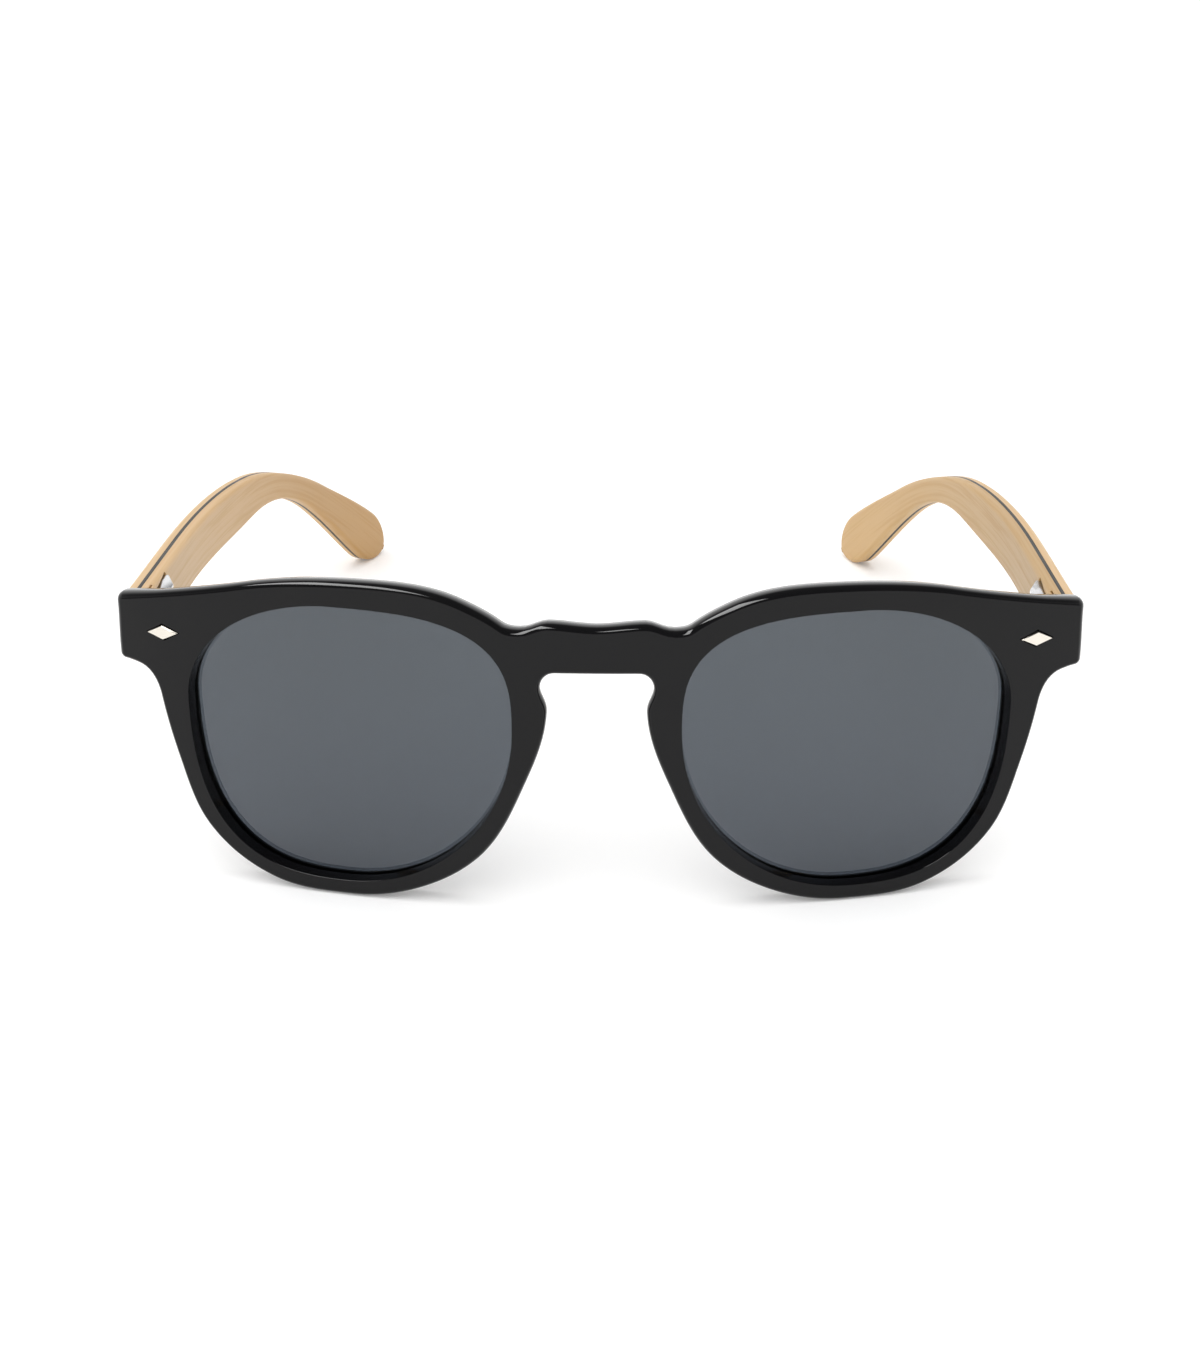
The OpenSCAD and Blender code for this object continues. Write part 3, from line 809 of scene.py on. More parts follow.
@dataclass(frozen=True)
class Veneer:
    """Finish of a wooden ply, with its grain along the board and other tones towards its tip."""

    name: str
    light: Tone
    dark: Tone
    # Tones blended in from turn_from to turn_to along the board: on the inner plies they are set
    # for each side apart and paint the light and shade that fall on it, and on the outer ply they
    # darken the tip.
    tip_light: Tone
    tip_dark: Tone
    line_width: float
    contrast: float
    relief: float = 0.012
    gloss: float = 0.5
    coat_share: float = 0.24
    coat_roughness: float = 0.25
    turn_from: float = 30.0
    turn_to: float = 130.0

    def make(self, groups: ShaderGroups) -> bpy.types.Material:
        """Make the material.

        Args:
            groups: The shared effects.

        Returns:
            The material.
        """
        tree, shader, made = new_material(self.name)
        place = tree.node("ShaderNodeAttribute", attribute_name=BoardSweep.PLACE).outputs["Vector"]
        along = tree.node("ShaderNodeSeparateXYZ", {0: place}).outputs["X"]
        # Share of the tip tones along the board; on the inner plies this blend paints light and
        # shade.
        share = tree.ramp(along, self.turn_from, self.turn_to)
        grain = group_node(
            tree,
            groups.grain,
            {
                "Place": place,
                "Light": tree.mix_colour(share, colour(*self.light), colour(*self.tip_light)),
                "Dark": tree.mix_colour(share, colour(*self.dark), colour(*self.tip_dark)),
                "Line Width": self.line_width,
                "Contrast": self.contrast,
            },
        )
        tree.feed(shader.inputs["Base Color"], grain.outputs["Colour"])
        tree.feed(shader.inputs["Roughness"], grain.outputs["Roughness"])
        shader.inputs["Specular IOR Level"].default_value = self.gloss
        shader.inputs["Coat Weight"].default_value = self.coat_share * self.gloss
        shader.inputs["Coat Roughness"].default_value = self.coat_roughness
        bump_from(tree, shader, grain.outputs["Height"], self.relief)
        return made


class Finishes:
    """Every finish of the glasses, made once."""

    def __init__(self) -> None:
        """Make the materials."""
        groups = ShaderGroups()
        self.front = PolishedPlastic().make(groups)
        self.lens = TintedLens().make(groups)
        self.rivet = Metal(
            "pearly_rivet", (0.82, 0.77, 0.69), (0.76, 0.71, 0.63), 0.2, 0.06, 0.0015
        ).make(groups)
        self.hinge = Metal(
            "satin_hinge", (0.78, 0.78, 0.79), (0.66, 0.66, 0.68), 0.24, 0.1, 0.002
        ).make(groups)
        self.wire = Metal(
            "spring_wire", (0.62, 0.63, 0.66), (0.5, 0.51, 0.54), 0.2, 0.06, 0.001
        ).make(groups)
        self.outer = Veneer(
            "outer_maple",
            light=(0.655, 0.430, 0.205),
            dark=(0.51, 0.305, 0.118),
            tip_light=(0.61, 0.385, 0.162),
            tip_dark=(0.475, 0.27, 0.095),
            line_width=0.45,
            contrast=0.5,
        ).make(groups)
        # The inner ply is one wood on both sides, made as two copies whose tones paint light and
        # shade: the left copy is painted shaded near the hinge and lit towards the tip, the right
        # copy lit near the hinge and shaded towards the tip.
        self.inner_left = Veneer(
            "inner_maple_left",
            light=(0.465, 0.286, 0.103),
            dark=(0.380, 0.217, 0.068),
            tip_light=(0.555, 0.350, 0.138),
            tip_dark=(0.450, 0.263, 0.089),
            line_width=0.5,
            contrast=0.42,
        ).make(groups)
        self.inner_right = Veneer(
            "inner_maple_right",
            light=(0.620, 0.398, 0.181),
            dark=(0.495, 0.298, 0.112),
            tip_light=(0.487, 0.274, 0.082),
            tip_dark=(0.400, 0.207, 0.053),
            line_width=0.5,
            contrast=0.42,
        ).make(groups)
        self.core = Veneer(
            "dyed_core",
            light=(0.030, 0.027, 0.025),
            dark=(0.014, 0.011, 0.010),
            tip_light=(0.030, 0.027, 0.025),
            tip_dark=(0.014, 0.011, 0.010),
            line_width=0.4,
            contrast=0.8,
            gloss=0.2,
        ).make(groups)


# Front


@dataclass(frozen=True)
class FrontCurve:
    """The curve of the front round the face."""

    radius: float = 190.0

    def bend(self, x: float, z: float, depth: float) -> Vector:
        """Return the place of a flat point.

        Args:
            x: Distance across the front, along its curve.
            z: Height.
            depth: Distance behind the face.

        Returns:
            The point in the row frame, in millimetres.
        """
        turn = x / self.radius
        reach = self.radius - depth
        return Vector(
            (reach * math.sin(turn), FACE_Y + self.radius - reach * math.cos(turn), z)
        )

    def stand(self, x: float) -> Matrix:
        """Return the transform that sets a piece upright on the face.

        Args:
            x: Distance across the front, along its curve.

        Returns:
            The transform, in millimetres.
        """
        middle = Vector((0, FACE_Y + self.radius, 0))
        turn = Matrix.Rotation(x / self.radius, 4, "Z")
        return Matrix.Translation(middle) @ turn @ Matrix.Translation((0, -self.radius, 0))


@dataclass(frozen=True)
class LensOpening:
    """Outline of a lens opening in the flat plane of the front."""

    near: float = 12.4
    width: float = 50.1
    low: float = 2.635
    height: float = 44.8
    nose_share: float = 0.527
    crown_share: float = 0.39
    top_nose: float = 2.9
    top_side: float = 1.95
    low_nose: float = 2.05
    low_side: float = 2.65

    @property
    def far(self) -> float:
        """Distance of the temple side from the middle of the front."""
        return self.near + self.width

    @property
    def top(self) -> float:
        """Height of the opening's highest point."""
        return self.low + self.height

    @property
    def centre(self) -> Vector:
        """The point where the opening is widest and highest."""
        return Vector(
            (self.near + self.nose_share * self.width, self.top - self.crown_share * self.height)
        )

    def point(self, angle: float) -> Vector:
        """Return a point of the outline, which is a different superellipse in each quarter.

        Args:
            angle: Angle in degrees from the temple side, rising over the top.

        Returns:
            The point.
        """
        c, s = toward(angle)
        centre = self.centre
        half_w = self.far - centre.x if c > 0 else centre.x - self.near
        half_h = self.top - centre.y if s > 0 else centre.y - self.low
        if s > 0:
            power = self.top_side if c > 0 else self.top_nose
        else:
            power = self.low_side if c > 0 else self.low_nose
        reach = (abs(c / half_w) ** power + abs(s / half_h) ** power) ** (-1 / power)
        return centre + reach * Vector((c, s))

    def normal(self, angle: float) -> Vector:
        """Return the unit normal at an angle, pointing into the frame."""
        along = self.point(angle + 0.5) - self.point(angle - 0.5)
        return Vector((along.y, -along.x)).normalized()

    def at(self, fx: float, fz: float) -> Vector:
        """Return the point at shares of the opening's width and height."""
        return Vector((self.near + fx * self.width, self.low + fz * self.height))


@dataclass(frozen=True)
class Rib:
    """A section through the front: where it meets the outline, and its lens angle."""

    point: Vector
    inward: Vector
    lens_angle: float
    seam: bool = False


@dataclass
class FrontFrame:
    """The front: two rims, keyhole bridge, end pieces and moulded nose pads."""

    curve: FrontCurve
    opening: LensOpening
    thickness: float = 4.0
    low_w: float = 2.63
    side_w: float = 3.1
    top_w: float = 3.8
    end_reach: float = 11.0
    end_h: float = 9.8
    bridge_drop: float = 1.6
    bridge_h: float = 7.2
    keyhole_w: float = 8.3
    neck_w: float = 7.3
    pad_d: float = 2.6
    pad_splay: float = 0.45
    pad_from: float = -138.0
    pad_to: float = -199.5
    edge_turn: float = 108.0
    edge_ease: float = 0.95
    edge_step: float = 0.16
    back_round: float = 0.5
    opening_round: float = 0.1
    pad_draft: float = 0.13
    groove_d: float = 0.9
    groove_from: float = 2.05
    groove_to: float = 3.45
    shoulder: tuple[float, float] = (7.1, 0.5)
    dip_in: float = 1.1
    dip_drop: float = 0.6
    lean_from: float = 5.0
    lean_over: float = 4.0
    rib_step: float = 0.9
    rib_turn: float = 7.0
    seam_ribs: int = 8
    round_steps: int = 6
    last_angle: float = -202.6
    seam_turn: float = -1.4

    # Shares of the way across the face and the back at which a section has points
    across: tuple[float, ...] = (0.04, 0.25, 0.5, 0.75, 0.96)

    # Angle above which an edge stays sharp
    sharp: float = 40.0

    # A corner belongs to the face when it lies this near its curve and turns less than this
    face_slack: float = 0.003
    face_turn: float = 25.0

    @property
    def bridge_top(self) -> float:
        """Height of the middle of the bridge."""
        return self.opening.top - self.bridge_drop

    @property
    def bridge_low(self) -> float:
        """Height of the underside of the bridge."""
        return self.bridge_top - self.bridge_h

    def stations(self) -> list[tuple[Vector, float, float]]:
        """Return the outline's stations, from the bridge over the top and round to the keyhole.

        The numbers in the table are the outline itself: places across and up, as lengths or as
        shares of the lens opening.

        Returns:
            Each station's place, its heading in degrees and its angle round the lens opening.
        """
        o = self.opening
        end = Vector((o.far + self.end_reach, o.top - 3))
        foot = end - Vector((0, self.end_h))
        top, low = self.bridge_top, self.bridge_low

        def by(place: Vector, dx: float, dz: float) -> Vector:
            """Return a place moved by dx and dz."""
            return place + Vector((dx, dz))

        return [
            (Vector((0, top)), 0, 156),
            (Vector((self.shoulder[0], top + self.shoulder[1])), 0, 152),
            (Vector((o.near - self.dip_in, top - self.dip_drop)), 0, 148),
            (by(o.at(0.025, 1), 0, self.top_w - 5.5), 37, 143),
            (by(o.at(0.142, 1), 0, self.top_w - 2.25), 24, 132),
            (by(o.at(0.461, 1), 0, self.top_w), -1, 98),
            (by(o.at(0.811, 1), 0, self.top_w - 2), -13.5, 55),
            (by(end, -0.9, 0.7), -11, 26),
            (by(end, 0.15, -0.5), -90, 22),
            (by(foot, 0.4, 1), -91, 12),
            (by(foot, -0.6, 0), -177, 10),
            (by(foot, -2.8, -0.4), -166, 8),
            (Vector((o.far + self.side_w + 1.9, foot.y - 5)), -99, 1),
            (by(o.at(1, 0.385), self.side_w - 0.3, 0), -106, -21),
            (by(o.at(0.958, 0.14), 0.8 * self.side_w - 1.9, 0), -127, -44),
            (o.at(0.75, -0.033), -161, -69),
            (by(o.at(0.507, 0), 0, -self.low_w), -180, -92),
            (o.at(0.314, -0.02), -200, -110),
            (o.at(0.108, 0.12), -225, -133),
            (o.at(-0.036, 0.405), -247, -162),
            (Vector((self.neck_w, low - 6.1)), -268, -185),
            (Vector((self.keyhole_w, low - 2.5)), -270, -194),
            (Vector((self.keyhole_w - 2.2, low)), -180, -200),
            (Vector((0, low)), -180, self.last_angle),
        ]

    def ribs(self) -> list[Rib]:
        """Place the ribs of one half of the front.

        Returns:
            The ribs round the outline, and then those up the middle of the bridge.
        """
        found = []
        stations = self.stations()
        for (p, h0, a0), (q, h1, a1) in zip(stations, stations[1:]):
            gap = (q - p).length
            speed = gap / math.cos(math.radians((h1 - h0) / 4)) ** 2
            mp, mq = speed * toward(h0), speed * toward(h1)
            steps = math.ceil(max(2, gap / self.rib_step, abs(h1 - h0) / self.rib_turn))
            last = 1 if q is stations[-1][0] else 0
            for j in range(steps + last):
                t = j / steps
                along = blend_travel(p, q, mp, mq, t)
                inward = Vector((along.y, -along.x)).normalized()
                found.append(Rib(blend(p, q, mp, mq, t), inward, a0 + (a1 - a0) * t))
        for j in range(1, self.seam_ribs + 1):
            t = j / (self.seam_ribs + 1)
            place = Vector((0, self.bridge_low + self.bridge_h * t))
            turn = self.last_angle + self.seam_turn * t
            found.append(Rib(place, Vector((1, 0)), turn, seam=True))
        return found

    def pad_depth(self, angle: float) -> float:
        """Return how far the nose pad stands behind the back.

        Args:
            angle: Angle round the lens opening, in degrees.

        Returns:
            The pad's depth in millimetres, 0 away from it.
        """
        if not self.pad_to < angle < self.pad_from:
            return 0.0
        share = (angle - self.pad_from) / (self.pad_to - self.pad_from)
        return self.pad_d * math.sin(math.pi * share) ** 2

    def outer_at(self, rib: Rib, inset: float, y: float) -> Vector:
        """Return a flat place on the outer edge.

        Deep in the nose pads it draws back from the nose, and on the end pieces it leans so that
        their walls run straight back.

        Args:
            rib: The rib.
            inset: Distance in from the outline.
            y: Depth behind the face.

        Returns:
            The place across, up and behind the face.
        """
        pad = self.pad_depth(rib.lens_angle)
        splay = self.pad_splay * max(y - self.thickness / 2, 0) * pad / self.pad_d
        place = rib.point + rib.inward * (inset + splay)
        x = rib.point.x
        share = min(max((x - self.opening.far - self.lean_from) / self.lean_over, 0), 1)
        lean = math.tan(x / self.curve.radius) * share
        return Vector((place.x + lean * y, place.y, y))

    def inner_at(self, rib: Rib, inset: float, y: float) -> Vector:
        """Return a flat place on the wall of the lens opening.

        Args:
            rib: The rib.
            inset: Distance that the wall is cut back into the frame.
            y: Depth behind the face.

        Returns:
            The place across, up and behind the face.
        """
        place = self.opening.point(rib.lens_angle)
        place = place + self.opening.normal(rib.lens_angle) * inset
        return Vector((place.x, place.y, y))

    def seam_at(self, rib: Rib, inset: float, y: float) -> Vector:
        """Return a flat place in the middle of the bridge, set in only up and down."""
        t = (rib.point.y - self.bridge_low) / self.bridge_h
        return Vector((0, self.bridge_low + inset + (self.bridge_h - 2 * inset) * t, y))

    def opening_section(self, rib: Rib) -> list[Vector]:
        """Return a rib's points round the lens opening, with the groove that holds the lens.

        Args:
            rib: The rib.

        Returns:
            The flat places, from the face to the back.
        """
        soft = arc_points(self.opening_round, self.round_steps // 2)
        front = [(r, d) for d, r in soft]
        steps = front + [
            (0, self.groove_from),
            (self.groove_d, self.groove_from),
            (self.groove_d, self.groove_to),
            (0, self.groove_to),
        ]
        steps += [(r, self.thickness - d) for r, d in soft]
        return [self.inner_at(rib, inset, y) for inset, y in steps]

    def edge_profile(self) -> list[tuple[float, float]]:
        """Return the profile of the polished edge.

        The edge turns away from the face at once and then ever more slowly, as tumbling
        leaves it: its normal is at edge_turn * (1 - exp(-s / edge_ease)) after a run s.

        Returns:
            Pairs of inset and depth, from the face to the round at the back.
        """
        run, rise, y, turn = 0.0, 0.0, 0.0, 0.0
        found = [(0.0, 0.0)]
        while y < self.thickness - self.back_round * (1 + math.cos(turn)):
            run += self.edge_step
            eased = 1 - math.exp((self.edge_step / 2 - run) / self.edge_ease)
            turn = math.radians(self.edge_turn) * eased
            rise += self.edge_step * math.cos(turn)
            y += self.edge_step * math.sin(turn)
            found.append((rise, y))
        top = max(rise for rise, y in found)
        return [(top - rise, y) for rise, y in found]

    def edge_section(self, rib: Rib) -> list[Vector]:
        """Return a rib's points over the outer edge.

        Args:
            rib: The rib.

        Returns:
            The flat places, from the back to the face.
        """
        extra = self.pad_depth(rib.lens_angle)
        profile = self.edge_profile()
        inset, low = profile[-1][0] + self.pad_draft * extra, profile[-1][1] + extra
        depth = self.thickness + extra - low
        soft = arc_points(1.0, self.round_steps)
        steps = [(inset + r * self.back_round, low + (1 - d) * depth) for r, d in reversed(soft)]
        steps += reversed(profile[:-1])
        place = self.seam_at if rib.seam else self.outer_at
        return [place(rib, inset, y) for inset, y in steps]

    def section(self, rib: Rib) -> tuple[list[Vector], int, int]:
        """Return a rib's closed section, bent round the face.

        Args:
            rib: The rib.

        Returns:
            Its points, and the numbers of the first and last point of its outer edge.
        """
        opening, edge = self.opening_section(rib), self.edge_section(rib)
        back = [opening[-1].lerp(edge[0], t) for t in self.across]
        face = [edge[-1].lerp(opening[0], t) for t in self.across]
        first = len(opening) + len(back)
        bent = [self.curve.bend(p.x, p.y, p.z) for p in opening + back + edge + face]
        return bent, first, first + len(edge) - 1

    def build(self) -> bpy.types.Object:
        """Join the ribs' sections into the front.

        Where the two halves meet in the bridge, the ribs' outer edges get no faces, and the same
        corners of both halves become one.

        Returns:
            The front as one closed mesh.
        """
        ribs = self.ribs()
        middle = sum(1 for rib in ribs if not rib.seam) - 1
        sections = [self.section(rib) for rib in ribs]
        points = [p for section, _, _ in sections for p in section]
        section, first, last = sections[0]
        n = len(section)
        faces = []
        for i in range(len(ribs)):
            for k in range(n):
                if i >= middle and first <= k < last:
                    continue
                a, b, m = i * n, (i + 1) % len(ribs) * n, (k + 1) % n
                faces.append((a + k, b + k, b + m, a + m))
        half = len(points)
        points += [Vector((-p.x, p.y, p.z)) for p in points]
        faces += [tuple(half + c for c in reversed(f)) for f in faces]
        return mesh_object("front_shell", points, faces, self.sharp)

    def true_face(self, mesh: bpy.types.Mesh) -> None:
        """Give the corners on the face the exact normal of its curve, for clean reflections.

        Args:
            mesh: Mesh of the front.
        """
        middle = Vector((0, FACE_Y + self.curve.radius, 0)) * MM
        normals = []
        for loop, shaded in zip(mesh.loops, mesh.corner_normals):
            away = mesh.vertices[loop.vertex_index].co - middle
            away.z = 0
            exact = away.normalized()
            on_face = abs(away.length / MM - self.curve.radius) < self.face_slack
            near = shaded.vector.dot(exact) > math.cos(math.radians(self.face_turn))
            normals.append(exact if on_face and near else shaded.vector.copy())
        mesh.normals_split_custom_set(normals)

    def make(self, finishes: Finishes, rivets: "DiamondRivets") -> bpy.types.Object:
        """Build and dress the front, with the pockets of its rivets.

        Args:
            finishes: Every finish.
            rivets: The rivets, whose pockets are cut.

        Returns:
            The finished piece.
        """
        piece = self.build()
        for side in Side:
            cut(piece, rivets.pocket(side))
        smooth(piece, self.sharp)
        self.true_face(piece.data)
        piece.data.materials.append(finishes.front)
        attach(piece, "front")
        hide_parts("front_frame")
        return piece


@dataclass
class Lenses:
    """The two tinted lenses, each a slice of the front's own curve."""

    curve: FrontCurve
    opening: LensOpening
    thickness: float = 1.3
    depth: float = 2.1
    reach: float = 0.65
    edge_round: float = 0.2
    round_steps: int = 4
    rings: int = 14
    spokes: int = 144
    sharp: float = 50.0

    def build(self) -> bpy.types.Object:
        """Build the left lens, of rings about the centre of its opening.

        Returns:
            The lens.
        """
        centre = self.opening.centre
        soft = arc_points(self.edge_round, self.round_steps)
        rows = [(k / self.rings, 0.0, 0.0) for k in range(1, self.rings)]
        rows += [(1.0, r, d) for d, r in soft]
        rows += [(1.0, r, self.thickness - d) for r, d in soft]
        rows += [(k / self.rings, 0.0, self.thickness) for k in range(self.rings - 1, 0, -1)]
        angles = [360 * k / self.spokes for k in range(self.spokes)]
        edge = [self.opening.point(a) for a in angles]
        out = [self.opening.normal(a) for a in angles]
        points = []
        for share, inset, down in rows:
            for p, n in zip(edge, out):
                place = centre + (p + n * (self.reach - inset) - centre) * share
                points.append(self.curve.bend(place.x, place.y, self.depth + down))
        faces = []
        for i in range(len(rows) - 1):
            for k in range(self.spokes):
                m = (k + 1) % self.spokes
                a, b = i * self.spokes, (i + 1) * self.spokes
                faces.append((a + k, a + m, b + m, b + k))
        for row, down in ((0, 0.0), (len(rows) - 1, self.thickness)):
            points.append(self.curve.bend(centre.x, centre.y, self.depth + down))
            hub, base = len(points) - 1, row * self.spokes
            faces += [(hub, base + k, base + (k + 1) % self.spokes) for k in range(self.spokes)]
        return mesh_object("left_lens_slice", points, faces, self.sharp)

    def make(self, finishes: Finishes) -> list[bpy.types.Object]:
        """Build and dress both lenses.

        Args:
            finishes: Every finish.

        Returns:
            The finished pieces.
        """
        left = self.build()
        pieces = [left, mirrored(left, "right_lens_slice")]
        for piece, side in zip(pieces, Side):
            piece.data.materials.append(finishes.lens)
            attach(piece, "front")
            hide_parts(f"{side.word}_lens")
        return pieces


@dataclass
class DiamondRivets:
    """The diamond heads on the end pieces, one pattern set at both sides."""

    curve: FrontCurve
    x: float = 65.9
    z: float = 40.235
    width: float = 5.2
    height: float = 2.3
    tilt: float = 4.0
    proud: float = 0.3
    sunk: float = 0.75
    bevel: float = 0.2
    edge_round: float = 0.06
    round_steps: int = 2
    sharp: float = 20.0
    gap: float = 0.13
    pocket_flare: float = 0.9
    pocket_lip: float = 0.15
    pocket_d: float = 0.85

    def diamond(self, grow: float, y: float) -> list[Vector]:
        """Return the corners of the diamond, grown by grow, at distance y behind the face."""
        w, h = (self.width + grow) / 2, (self.height + grow) / 2
        return [Vector(p) for p in ((-w, y, 0), (0, y, h), (w, y, 0), (0, y, -h))]

    def stack(self, name: str, layers: Sequence[tuple[float, float]]) -> bpy.types.Object:
        """Return a solid of stacked diamonds.

        Args:
            name: Name of the object.
            layers: Pairs of growth and distance behind the face, from front to back.

        Returns:
            The solid, upright at the origin of the pattern.
        """
        points = [p for grow, y in layers for p in self.diamond(grow, y)]
        faces = [(0, 1, 2, 3), tuple(range(len(points) - 4, len(points)))]
        for i in range(len(layers) - 1):
            a, b = 4 * i, 4 * i + 4
            faces += [(a + k, a + (k + 1) % 4, b + (k + 1) % 4, b + k) for k in range(4)]
        return mesh_object(name, points, faces, self.sharp)

    def place(self, side: Side) -> Matrix:
        """Return the transform of the pattern to its place.

        Args:
            side: The side.

        Returns:
            The transform, in metres.
        """
        made = self.curve.stand(side.value * self.x) @ Matrix.Translation((0, 0, self.z))
        made.translation = made.translation * MM
        return made @ Matrix.Rotation(math.radians(side.value * self.tilt), 4, "Y")

    def pocket(self, side: Side) -> bpy.types.Object:
        """Build the solid that cuts a rivet's pocket, flared at the face.

        Args:
            side: The side.

        Returns:
            The cutter.
        """
        flare, wall = (self.pocket_flare, -self.proud), 2 * self.gap
        made = self.stack("pocket", (flare, (wall, self.pocket_lip), (wall, self.pocket_d)))
        made.data.transform(self.place(side))
        return made

    def make(self, finishes: Finishes) -> bpy.types.Object:
        """Set the pattern at both sides with geometry nodes.

        Args:
            finishes: Every finish.

        Returns:
            Both rivet heads as one piece.
        """
        head = ((-self.bevel, -self.proud), (0, 0), (0, self.sunk))
        pattern = self.stack("rivet_pattern", head)
        soften_edges(pattern, self.edge_round, self.round_steps)
        piece = linked("diamond_rivets", points_mesh([self.place(side) for side in Side]))
        group = bpy.data.node_groups.new("Rivets on points", "GeometryNodeTree")
        tree = Tree(group)
        face = group.interface
        face.new_socket("Points", in_out="INPUT", socket_type="NodeSocketGeometry")
        face.new_socket("Pattern", in_out="INPUT", socket_type="NodeSocketObject")
        face.new_socket("Finish", in_out="INPUT", socket_type="NodeSocketMaterial")
        face.new_socket("Rivets", in_out="OUTPUT", socket_type="NodeSocketGeometry")
        given, out = tree.node("NodeGroupInput"), tree.node("NodeGroupOutput")
        shape = tree.node("GeometryNodeObjectInfo", {"Object": given.outputs["Pattern"]})
        turn = tree.node(
            "GeometryNodeInputNamedAttribute", {"Name": "turn"}, data_type="FLOAT_VECTOR"
        )
        spread = tree.node(
            "GeometryNodeInstanceOnPoints",
            {
                "Points": given.outputs["Points"],
                "Instance": shape.outputs["Geometry"],
                "Rotation": turn.outputs[0],
            },
        )
        real = tree.node("GeometryNodeRealizeInstances", {0: spread.outputs[0]})
        dressed = tree.node(
            "GeometryNodeSetMaterial", {0: real.outputs[0], "Material": given.outputs["Finish"]}
        )
        tree.feed(out.inputs[0], dressed.outputs[0])
        run_tree(piece, group, {"Pattern": pattern, "Finish": finishes.rivet})
        bpy.data.objects.remove(pattern)
        smooth(piece, self.sharp)
        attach(piece, "front")
        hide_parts("left_diamond_rivet", "right_diamond_rivet")
        return piece


def points_mesh(places: Sequence[Matrix]) -> bpy.types.Mesh:
    """Return a mesh of one corner a place, with the place's turn as an attribute.

    Args:
        places: Transform of each place, in metres.

    Returns:
        The mesh.
    """
    mesh = bpy.data.meshes.new("places")
    mesh.from_pydata([m.translation for m in places], [], [])
    turn = mesh.attributes.new("turn", "FLOAT_VECTOR", "POINT")
    for i, place in enumerate(places):
        turn.data[i].vector = place.to_euler()
    return mesh


def run_tree(
    piece: bpy.types.Object,
    group: bpy.types.NodeTree,
    values: dict[str, float | bpy.types.Object | bpy.types.Material],
) -> None:
    """Run a geometry tree on a piece and keep the result as its plain mesh.

    Args:
        piece: Object that the tree starts from.
        group: Geometry tree.
        values: Input name to value.
    """
    work = piece.modifiers.new(group.name, "NODES")
    work.node_group = group
    sockets = {
        item.name: item.identifier
        for item in group.interface.items_tree
        if item.item_type == "SOCKET" and item.in_out == "INPUT"
    }
    for key, value in values.items():
        work[sockets[key]] = value
    bake_modifiers(piece)


# Hinges


